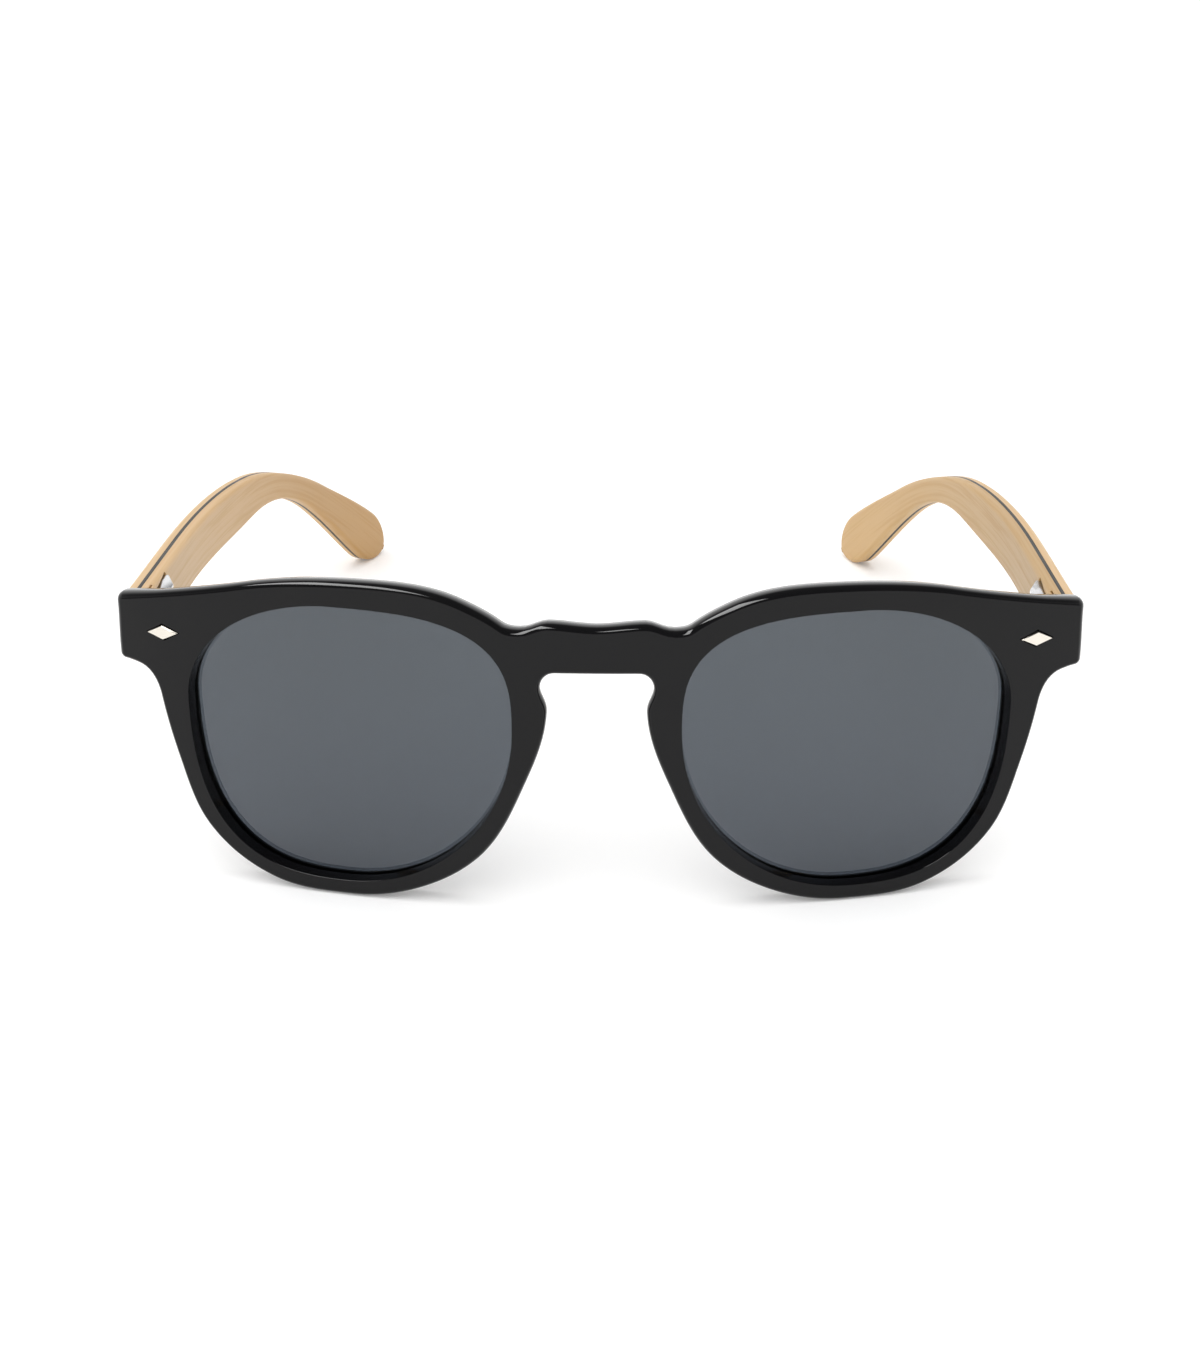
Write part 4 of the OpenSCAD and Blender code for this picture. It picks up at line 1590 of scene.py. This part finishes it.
@dataclass
class Hinges:
    """The leaf, screw, slider, housing, spring and cap of each hinge."""

    axis: Vector
    barrel_h: float = 5.0
    screw_r: float = 0.55
    head_r: float = 1.05
    head_h: float = 0.5
    slot_w: float = 0.25
    slot_d: float = 0.25
    slot_past: float = 0.1
    seat_gap: float = 0.05
    foot_bevel: float = 0.12
    neck_h: float = 0.01
    dome_round: float = 0.16
    dome_steps: int = 4

    # Widths of the rounds on the pieces' edges
    leaf_edge: float = 0.08
    slider_edge: float = 0.05
    cap_edge: float = 0.04
    housing_edge: float = 0.12

    # The slider's line and the spring on it, from the axis outwards and back
    slide_x: float = 2.65
    spring_from: float = 6.0
    spring_l: float = 2.9
    spring_turns: float = 6.0
    spring_gap: float = 0.01
    travel: float = 1.2
    wire_r: float = 0.11
    coil_r: float = 0.63
    turn_steps: int = 28
    wire_sides: int = 12
    wire_sharp: float = 60.0

    def screw(self, side: Side) -> bpy.types.Object:
        """Turn the screw of a side and cut its slot.

        Args:
            side: The side.

        Returns:
            The screw.
        """
        axis = Vector((side.value * self.axis.x, self.axis.y, 0))
        low = self.axis.z - self.barrel_h / 2
        top = self.axis.z + self.barrel_h / 2 + self.seat_gap / 2
        soft = arc_points(self.dome_round, self.dome_steps)
        profile = [
            (self.screw_r - self.foot_bevel, low),
            (self.screw_r, low + self.foot_bevel),
            (self.screw_r, top - self.neck_h),
            (self.head_r, top),
        ]
        profile += [(self.head_r - r, top + self.head_h - d) for r, d in soft]
        made = lathe(f"{side.word}_screw", profile, axis)
        half, reach = self.slot_w / 2, self.head_r + self.slot_past
        slot = block(
            "slot",
            axis + Vector((-reach, -half, top + self.head_h - self.slot_d)),
            axis + Vector((reach, half, top + self.head_h + self.slot_past)),
        )
        cut(made, slot)
        smooth(made, SHARP)
        return made

    def spring(self, side: Side, finishes: Finishes) -> bpy.types.Object:
        """Wind the coil spring of a side with geometry nodes.

        Args:
            side: The side.
            finishes: Every finish.

        Returns:
            The spring, with a little air at both ends.
        """
        made = linked(f"{side.word}_coil", bpy.data.meshes.new("empty"))
        group = bpy.data.node_groups.get("Wound spring") or self._spring_tree()
        run_tree(
            made,
            group,
            {
                "Turns": self.spring_turns,
                "Coil Radius": self.coil_r * MM,
                "Wire Radius": self.wire_r * MM,
                "Length": (self.spring_l - 2 * self.wire_r - 2 * self.spring_gap) * MM,
                "Finish": finishes.wire,
            },
        )
        start = Vector(
            (
                side.value * (self.axis.x + self.slide_x),
                self.axis.y + self.spring_from + self.wire_r + self.spring_gap,
                self.axis.z,
            )
        )
        turn = Matrix.Rotation(math.radians(-90), 4, "X")
        made.data.transform(Matrix.Translation(start * MM) @ turn)
        smooth(made, self.wire_sharp)
        return made

    def _spring_tree(self) -> bpy.types.NodeTree:
        """Build the tree that winds a round wire along a helix.

        Returns:
            The tree.
        """
        group = bpy.data.node_groups.new("Wound spring", "GeometryNodeTree")
        face = group.interface
        face.new_socket("Geometry", in_out="INPUT", socket_type="NodeSocketGeometry")
        for key in ("Turns", "Coil Radius", "Wire Radius", "Length"):
            face.new_socket(key, in_out="INPUT", socket_type="NodeSocketFloat")
        face.new_socket("Finish", in_out="INPUT", socket_type="NodeSocketMaterial")
        face.new_socket("Spring", in_out="OUTPUT", socket_type="NodeSocketGeometry")
        tree = Tree(group)
        given, out = tree.node("NodeGroupInput"), tree.node("NodeGroupOutput")
        helix = tree.node(
            "GeometryNodeCurveSpiral",
            {
                "Resolution": self.turn_steps,
                "Rotations": given.outputs["Turns"],
                "Start Radius": given.outputs["Coil Radius"],
                "End Radius": given.outputs["Coil Radius"],
                "Height": given.outputs["Length"],
            },
        )
        ring = tree.node(
            "GeometryNodeCurvePrimitiveCircle",
            {"Resolution": self.wire_sides, "Radius": given.outputs["Wire Radius"]},
        )
        swept = tree.node(
            "GeometryNodeCurveToMesh",
            {"Curve": helix.outputs[0], "Profile Curve": ring.outputs[0], "Fill Caps": True},
        )
        real = tree.node("GeometryNodeRealizeInstances", {0: swept.outputs[0]})
        dressed = tree.node(
            "GeometryNodeSetMaterial", {0: real.outputs[0], "Material": given.outputs["Finish"]}
        )
        tree.feed(out.inputs[0], dressed.outputs[0])
        return group

    def softened(self, node: str, width: float, finishes: Finishes) -> bpy.types.Object:
        """Return a finer copy of a packed hinge piece.

        Args:
            node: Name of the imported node.
            width: Width of the rounds on its edges, in millimetres.
            finishes: Every finish.

        Returns:
            The copy, with its edges rounded.
        """
        made = copy_of_node(node, f"{node}_softened")
        soften_edges(made, width)
        made.data.materials.append(finishes.hinge)
        return made

    def make(self, finishes: Finishes) -> list[bpy.types.Object]:
        """Build and dress both hinges.

        Args:
            finishes: Every finish.

        Returns:
            The finished pieces.
        """
        pieces = []
        for side in Side:
            word = side.word
            screw = self.screw(side)
            screw.data.materials.append(finishes.hinge)
            made = [(screw, "front", "hinge_screw", "hinge_metal")]
            for node, body, width in (
                ("hinge_leaf", "front", self.leaf_edge),
                ("flex_slider", f"{word}_slider", self.slider_edge),
                ("spring_cap", f"{word}_slider", self.cap_edge),
                ("flex_housing", f"{word}_temple", self.housing_edge),
            ):
                piece = self.softened(f"{word}_{node}", width, finishes)
                made.append((piece, body, node, "hinge_metal"))
            spring = self.spring(side, finishes)
            made.append((spring, f"{word}_slider", "flex_spring", "spring_steel"))
            for piece, body, node, slot in made:
                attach(piece, body)
                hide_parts(f"{word}_{node}")
                pieces.append(piece)
            self.press(spring, side)
        return pieces

    def press(self, spring: bpy.types.Object, side: Side) -> None:
        """Give a spring its own copy of its mesh; the spring keeps its length as the temple draws
        back.

        Args:
            spring: The spring.
            side: Its side.
        """
        f"{side.word}_flex_slide"
        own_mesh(spring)


# Temples


class Ply(Enum):
    """The plies of a board: depth of each one's two faces behind the board's outer face."""

    OUTER = (0.0, 1.6)
    CORE = (1.6, 2.2)
    INNER = (2.2, 4.0)


@dataclass(frozen=True)
class BoardPath:
    """The run of a temple board from the hinge over the ear to its tip."""

    curve: FrontCurve
    start_z: float
    length: float = 144.0
    thickness: float = 4.0
    outer_x: float = 71.5805
    slope: float = 5.19076
    bow_from: float = 30.0
    bow_r: float = 280.0
    ear_from: float = 0.51
    ear_to: float = 0.765
    ear_r: float = 76.0
    tail_r: float = 300.0
    front_t: float = 4.0
    butt_gap: float = 0.3
    tip_round: float = 0.8
    tip_blunt: float = 0.004
    straight_steps: int = 120
    tip_steps: int = 26

    # Pairs of distance from the hinge end and height there
    heights: tuple[tuple[float, float], ...] = (
        (0.0, 8.2),
        (31.68, 8.4),
        (63.36, 8.2),
        (91.44, 4.8),
        (110.88, 5.8),
        (132.48, 9.3),
        (144.0, 10.0),
    )

    @property
    def tip_zone(self) -> float:
        """Length over which the tip is rounded."""
        return self.heights[-1][1] * self.tip_round

    def places(self) -> list[float]:
        """Space the sections along the board, closer together at the tip.

        Returns:
            Their distances from the hinge end.
        """
        run = self.length - self.tip_zone
        found = [run * i / self.straight_steps for i in range(self.straight_steps)]
        turns = [math.pi / 2 * i / self.tip_steps for i in range(self.tip_steps)]
        found += [run + self.tip_zone * math.sin(turn) for turn in turns]
        return found + [self.length]

    def height(self, u: float) -> float:
        """Return the board's height at u."""
        share = min((self.length - u) / self.tip_zone, 1)
        return smooth_at(self.heights, u) * math.sqrt(max(1 - (1 - share) ** 2, self.tip_blunt))

    def down(self, u: float) -> float:
        """Return how far the board points down.

        Args:
            u: Distance from the hinge end.

        Returns:
            The angle in radians.
        """
        first, last = self.ear_from * self.length, self.ear_to * self.length
        turned = min(max(u - first, 0), last - first) / self.ear_r
        return math.radians(self.slope) + turned + max(u - last, 0) / self.tail_r

    def start(self, x: float) -> float:
        """Return where the board begins behind the end piece, at x across."""
        reach = self.curve.radius - self.front_t - self.butt_gap
        return FACE_Y + self.curve.radius - math.sqrt(reach**2 - x**2)

    def guide(self) -> list[dict[str, Vector | float]]:
        """Place the sections along the board.

        The first one is sheared, so that the board's end follows the back of the end piece.

        Returns:
            Each section's centre on the outer face, its outward and upward direction, its height
            and its distance from the hinge end.
        """
        along, up, last = 0.0, 0.0, 0.0
        found = []
        begin = self.start(self.outer_x)
        for i, u in enumerate(self.places()):
            middle = self.down((u + last) / 2)
            along += (u - last) * math.cos(middle)
            up -= (u - last) * math.sin(middle)
            last = u
            turn = max(along - self.bow_from, 0) / self.bow_r
            run = min(along, self.bow_from) + self.bow_r * math.sin(turn)
            centre = Vector(
                (self.outer_x - self.bow_r * (1 - math.cos(turn)), begin + run, self.start_z + up)
            )
            out = Vector((math.cos(turn), math.sin(turn), 0))
            lean = self.down(u)
            back = Vector((-math.sin(turn), math.cos(turn), 0)) * math.sin(lean)
            rise = back + Vector((0, 0, math.cos(lean)))
            if i == 0:
                inner = self.outer_x - self.thickness
                out = Vector((1, (begin - self.start(inner)) / self.thickness, 0))
                rise = Vector((0, 0, 1))
            found.append(
                {"centre": centre, "out": out, "up": rise, "height": self.height(u), "along": u}
            )
        return found


class BoardSweep:
    """The geometry tree that sweeps a ply's section along the board."""

    PLACE = "board_place"

    def __init__(self) -> None:
        """Build the tree."""
        group = bpy.data.node_groups.new("Board sweep", "GeometryNodeTree")
        face = group.interface
        face.new_socket("Guide", in_out="INPUT", socket_type="NodeSocketGeometry")
        face.new_socket("Section", in_out="INPUT", socket_type="NodeSocketObject")
        face.new_socket("Finish", in_out="INPUT", socket_type="NodeSocketMaterial")
        face.new_socket("Ply", in_out="OUTPUT", socket_type="NodeSocketGeometry")
        self.group = group
        self.tree = tree = Tree(group)
        given, out = tree.node("NodeGroupInput"), tree.node("NodeGroupOutput")
        shape = tree.node("GeometryNodeObjectInfo", {"Object": given.outputs["Section"]})
        path = tree.node("GeometryNodeMeshToCurve", {0: given.outputs["Guide"]})
        ring = tree.node("GeometryNodeMeshToCurve", {0: shape.outputs["Geometry"]})
        swept = tree.node(
            "GeometryNodeCurveToMesh",
            {"Curve": path.outputs[0], "Profile Curve": ring.outputs[0], "Fill Caps": True},
        )
        half_height = tree.math("MULTIPLY", self.read("height"), 0.5)
        to_edge = tree.math("MULTIPLY", self.read("side"), half_height)
        inset = tree.math("MULTIPLY", self.read("side"), self.read("inset"))
        rise = tree.math("SUBTRACT", to_edge, inset)
        outward = tree.vector("SCALE", self.read("out", "FLOAT_VECTOR"), Scale=self.read("depth"))
        upward = tree.vector("SCALE", self.read("up", "FLOAT_VECTOR"), Scale=rise)
        offset = tree.vector("ADD", outward, upward)
        place = tree.vector("ADD", self.read("centre", "FLOAT_VECTOR"), offset)
        moved = tree.node(
            "GeometryNodeSetPosition", {"Geometry": swept.outputs[0], "Position": place}
        )
        flat = tree.node(
            "ShaderNodeCombineXYZ", {0: self.read("along"), 1: self.read("depth"), 2: rise}
        )
        in_mm = tree.vector("SCALE", flat.outputs[0], Scale=1 / MM)
        stored = tree.node(
            "GeometryNodeStoreNamedAttribute",
            {"Geometry": moved.outputs[0], "Name": self.PLACE, "Value": in_mm},
            data_type="FLOAT_VECTOR",
            domain="POINT",
        )
        real = tree.node("GeometryNodeRealizeInstances", {0: stored.outputs[0]})
        dressed = tree.node(
            "GeometryNodeSetMaterial", {0: real.outputs[0], "Material": given.outputs["Finish"]}
        )
        tree.feed(out.inputs[0], dressed.outputs[0])

    def read(self, name: str, kind: str = "FLOAT") -> bpy.types.NodeSocket:
        """Return a named attribute of the swept mesh."""
        made = self.tree.node("GeometryNodeInputNamedAttribute", {"Name": name}, data_type=kind)
        return made.outputs[0]


def line_mesh(
    name: str, rows: Sequence[dict[str, Vector | float]], closed: bool
) -> bpy.types.Object:
    """Return a line of corners that carry attributes, for a sweep.

    Args:
        name: Name of the object.
        rows: Attributes of each corner, lengths in millimetres; "centre" is also its place.
        closed: Whether the last corner joins the first.

    Returns:
        The object.
    """
    last = len(rows) - 1
    edges = [(i, i + 1) for i in range(last)]
    if closed:
        edges.append((last, 0))
    mesh = bpy.data.meshes.new(name)
    mesh.from_pydata([row["centre"] * MM for row in rows], edges, [])
    for key, sample in rows[0].items():
        kind = "FLOAT_VECTOR" if isinstance(sample, Vector) else "FLOAT"
        scale = 1.0 if key in ("out", "up", "side") else MM
        data = mesh.attributes.new(key, kind, "POINT").data
        for i, row in enumerate(rows):
            if kind == "FLOAT_VECTOR":
                data[i].vector = row[key] * scale
            else:
                data[i].value = row[key] * scale
    return linked(name, mesh)


@dataclass
class Temples:
    """The laminated boards of both temples."""

    path: BoardPath
    edge_round: float = 0.9
    round_steps: int = 6
    sharp: float = 40.0
    merge: float = 0.0002
    drawn_half_h: float = 5.0

    # The housing's pocket: its half height, its room above and its cutter's reach inwards
    pocket_half_h: float = 2.05
    pocket_above: float = 0.45
    pocket_past: float = 3.0

    # The slider's slot: its half height, and its reach from the axis inwards, outwards, forwards
    slot_half_h: float = 1.05
    slot_in: float = 3.0
    slot_out: float = 3.4
    slot_before: float = 2.7

    # The saw kerf: its size, its distance from the inner face and its cutter's overrun
    kerf_w: float = 0.28
    kerf_l: float = 5.0
    kerf_d: float = 0.9
    kerf_in: float = 0.45
    kerf_past: float = 1.0

    def section(self, ply: Ply) -> list[dict[str, Vector | float]]:
        """Draw a ply's section, with rounds on the outside of the board.

        The height that it is drawn with is any one, because the sweep sets every place.

        Args:
            ply: The ply.

        Returns:
            Its corners' place, depth, side up or down, and inset from the board's edge.
        """
        outer, inner = -ply.value[0], -ply.value[1]
        soft = arc_points(self.edge_round, self.round_steps)
        outer_soft = soft if ply is Ply.OUTER else [(0.0, 0.0)]
        inner_soft = soft if ply is Ply.INNER else [(0.0, 0.0)]
        rows = [(outer - d, -1.0, r) for r, d in outer_soft]
        rows += [(outer - d, 1.0, r) for r, d in reversed(outer_soft)]
        rows += [(inner + d, 1.0, r) for r, d in inner_soft]
        rows += [(inner + d, -1.0, r) for r, d in reversed(inner_soft)]
        half = self.drawn_half_h
        return [
            {"centre": Vector((d, s * (half - i), 0)), "depth": d, "side": s, "inset": i}
            for d, s, i in rows
        ]

    def ply(self, ply: Ply, sweep: BoardSweep, finish: bpy.types.Material) -> bpy.types.Object:
        """Sweep a ply of the left temple.

        Args:
            ply: The ply.
            sweep: The tree that sweeps it.
            finish: Its finish.

        Returns:
            The ply.
        """
        piece = line_mesh(f"left_{ply.name.lower()}_board", self.path.guide(), closed=False)
        section = line_mesh("section", self.section(ply), closed=True)
        run_tree(piece, sweep.group, {"Section": section, "Finish": finish})
        bpy.data.objects.remove(section)
        tidy_mesh(piece, self.sharp, self.merge)
        return piece

    def make(self, finishes: Finishes, hinges: Hinges) -> list[bpy.types.Object]:
        """Build and dress the plies of both temples.

        Args:
            finishes: Every finish.
            hinges: The hinges, whose housing and slider the inner ply makes room for.

        Returns:
            The finished pieces.
        """
        sweep = BoardSweep()
        dress = {
            Ply.OUTER: (finishes.outer, "maple_ply"),
            Ply.CORE: (finishes.core, "dark_ply"),
            Ply.INNER: (finishes.inner_left, "maple_ply"),
        }
        pieces = []
        for ply in Ply:
            finish, slot = dress[ply]
            left = self.ply(ply, sweep, finish)
            if ply is Ply.INNER:
                self.cut_pockets(left, hinges)
            right = mirrored(left, left.name.replace("left", "right"))
            if ply is Ply.INNER:
                # The right inner ply takes the copy whose tones paint the light and shade of that
                # side.
                right.data.materials[0] = finishes.inner_right
            for piece, side in ((left, Side.LEFT), (right, Side.RIGHT)):
                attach(piece, f"{side.word}_temple")
                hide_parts(f"{side.word}_temple_{ply.name.lower()}_ply")
                pieces.append(piece)
        return pieces

    def cut_pockets(self, piece: bpy.types.Object, hinges: Hinges) -> None:
        """Cut the housing's pocket, the slider's slot and the saw kerf above into the inner ply.

        Args:
            piece: The inner ply of the left temple.
            hinges: The hinges.
        """
        low, high = (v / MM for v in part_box("left_flex_housing"))
        gap = hinges.seat_gap
        middle = (low.z + high.z) / 2
        roof = middle + self.pocket_half_h + self.pocket_above
        pocket = block(
            "pocket",
            Vector((low.x - self.pocket_past, low.y - gap, middle - self.pocket_half_h)),
            Vector((high.x + gap, high.y + gap, roof)),
        )
        slot = block(
            "slot",
            hinges.axis + Vector((-self.slot_in, -self.slot_before, -self.slot_half_h)),
            Vector((hinges.axis.x + self.slot_out, low.y, hinges.axis.z + self.slot_half_h)),
        )
        inner_x = self.path.outer_x - self.path.thickness
        corner = self.path.start(inner_x)
        top = self.path.start_z + self.path.height(0) / 2
        x = inner_x + self.kerf_in
        kerf = block(
            "kerf",
            Vector((x, corner - self.kerf_past, top - self.kerf_d)),
            Vector((x + self.kerf_w, corner + self.kerf_l, top + self.kerf_past)),
        )
        for cutter in (pocket, slot, kerf):
            cut(piece, cutter)
        smooth(piece, self.sharp)


# Studio


@dataclass(frozen=True)
class PhotoCamera:
    """The camera, placed as the photograph was taken."""

    target: Vector = field(default_factory=lambda: Vector((0.49, FACE_Y, 37.12)))
    distance: float = 320.0
    elevation: float = 24.35
    yaw: float = 1.18
    roll: float = -0.06
    focal_px: float = 2226.6
    picture_px: float = 1372.0
    sensor: float = 36.0
    nearest: float = 0.01
    furthest: float = 20.0

    def place(self) -> None:
        """Make the scene's camera."""
        yaw, rise = math.radians(self.yaw), math.radians(self.elevation)
        away = Vector(
            (math.sin(yaw) * math.cos(rise), -math.cos(yaw) * math.cos(rise), math.sin(rise))
        )
        data = bpy.data.cameras.new("photo_camera")
        data.sensor_width = self.sensor
        data.lens = self.sensor * self.focal_px / self.picture_px
        data.clip_start = self.nearest
        data.clip_end = self.furthest
        made = linked("photo_camera", data)
        look = (-away).to_track_quat("-Z", "Y").to_matrix().to_4x4()
        turn = Matrix.Rotation(math.radians(self.roll), 4, "Z")
        spot = (self.target + away * self.distance) * MM
        made.matrix_world = Matrix.Translation(spot) @ look @ turn
        bpy.context.scene.camera = made


@dataclass(frozen=True)
class Softbox:
    """A softbox that shows as a highlight, in metres, turned to the middle of the glasses."""

    name: str
    place: tuple[float, float, float]
    size: tuple[float, float]
    power: float
    aim: tuple[float, float, float] = (0, 0, 0.03)
    gloss_only: bool = True

    def hang(self) -> None:
        """Make the light."""
        data = bpy.data.lights.new(self.name, "AREA")
        data.shape = "RECTANGLE"
        data.size, data.size_y = self.size
        data.energy = self.power
        made = linked(self.name, data)
        spot = Vector(self.place)
        turn = (Vector(self.aim) - spot).to_track_quat("-Z", "Y").to_matrix().to_4x4()
        made.matrix_world = Matrix.Translation(spot) @ turn
        made.visible_diffuse = not self.gloss_only
        made.visible_transmission = not self.gloss_only


@dataclass(frozen=True)
class Studio:
    """A pale floor, a white sweep behind, a darker room in front and soft light from above."""

    floor_half: float = 6.0
    floor_drop: float = 0.02
    floor_tone: float = 0.85
    floor_roughness: float = 0.9
    floor_gloss: float = 0.1
    floor_glow: float = 0.18
    sweep_glow: float = 1.1
    room_glow: float = 0.22
    behind_from: float = -0.55
    behind_to: float = 0.1
    sweep_low: float = 0.45
    sweep_high: float = 0.75
    skirting_low: float = 0.13
    skirting_high: float = 0.18
    sun_power: float = 2.8
    sun_spread: float = 80.0
    sun_from: tuple[float, float, float] = (-0.15, -0.35, 1.0)
    brow_light: Softbox = Softbox("brow_light", (-0.46, -0.2, 1.15), (1.3, 0.45), 27.0)

    def set_up(self) -> None:
        """Make the floor, the surround and the lights."""
        scene = bpy.context.scene
        scene.view_settings.view_transform = "Standard"
        scene.world = self.surround()
        self.lay_floor()
        sun = bpy.data.lights.new("soft_sun", "SUN")
        sun.energy = self.sun_power
        sun.angle = math.radians(self.sun_spread)
        made = linked("soft_sun", sun)
        made.matrix_world = Vector(self.sun_from).to_track_quat("Z", "Y").to_matrix().to_4x4()
        made.visible_glossy = False
        self.brow_light.hang()

    def surround(self) -> bpy.types.World:
        """Make the surround: white behind and just over the floor, darker elsewhere.

        Returns:
            The world.
        """
        world = bpy.data.worlds.new("studio")
        world.use_nodes = True
        tree = Tree(world.node_tree)
        backdrop = tree.node("ShaderNodeBackground")
        end = tree.node("ShaderNodeOutputWorld")
        tree.feed(end.inputs[0], backdrop.outputs[0])
        away = tree.node("ShaderNodeTexCoord").outputs["Generated"]
        parts = tree.node("ShaderNodeSeparateXYZ", {0: away})
        behind = tree.ramp(parts.outputs["Y"], self.behind_from, self.behind_to)
        high = tree.ramp(parts.outputs["Z"], self.sweep_low, self.sweep_high)
        skirting = tree.ramp(parts.outputs["Z"], self.skirting_high, self.skirting_low)
        lit = tree.math("MAXIMUM", behind, skirting)
        white = tree.math("MULTIPLY", lit, tree.math("SUBTRACT", 1.0, high))
        glow = tree.math("MULTIPLY", white, self.sweep_glow - self.room_glow)
        tree.feed(backdrop.inputs["Strength"], tree.math("ADD", glow, self.room_glow))
        backdrop.inputs["Color"].default_value = colour(1, 1, 1)
        return world

    def lay_floor(self) -> None:
        """Make the floor that the glasses rest on."""
        half = self.floor_half / MM
        ways = ((-half, -half), (half, -half), (half, half), (-half, half))
        corners = [Vector((x, y, -self.floor_drop)) for x, y in ways]
        floor = mesh_object("floor", corners, [(0, 1, 2, 3)])
        _, shader, made = new_material("pale_floor")
        tone = self.floor_tone
        shader.inputs["Base Color"].default_value = colour(tone, tone, tone)
        shader.inputs["Roughness"].default_value = self.floor_roughness
        shader.inputs["Specular IOR Level"].default_value = self.floor_gloss
        shader.inputs["Emission Color"].default_value = colour(1, 1, 1)
        shader.inputs["Emission Strength"].default_value = self.floor_glow
        floor.data.materials.append(made)


def main() -> None:
    """Build the studio and the glasses, piece by piece."""
    logging.basicConfig(level=logging.INFO, format="%(name)s: %(message)s")
    PhotoCamera().place()
    Studio().set_up()
    finishes = Finishes()
    curve = FrontCurve()
    opening = LensOpening()
    rivets = DiamondRivets(curve)
    screw_low, screw_high = (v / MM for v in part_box("left_hinge_screw"))
    low, high = (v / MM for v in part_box("left_flex_housing"))
    axis = (screw_low + screw_high) / 2
    axis.z = (low.z + high.z) / 2
    hinges = Hinges(axis)
    made = [FrontFrame(curve, opening).make(finishes, rivets)]
    made += Lenses(curve, opening).make(finishes)
    made.append(rivets.make(finishes))
    made += hinges.make(finishes)
    made += Temples(BoardPath(curve, axis.z - BOARD_DROP)).make(finishes, hinges)
    for piece in made:
        LOG.info("%s: %d faces", piece.name, len(piece.data.polygons))


if __name__ == "__main__":
    main()
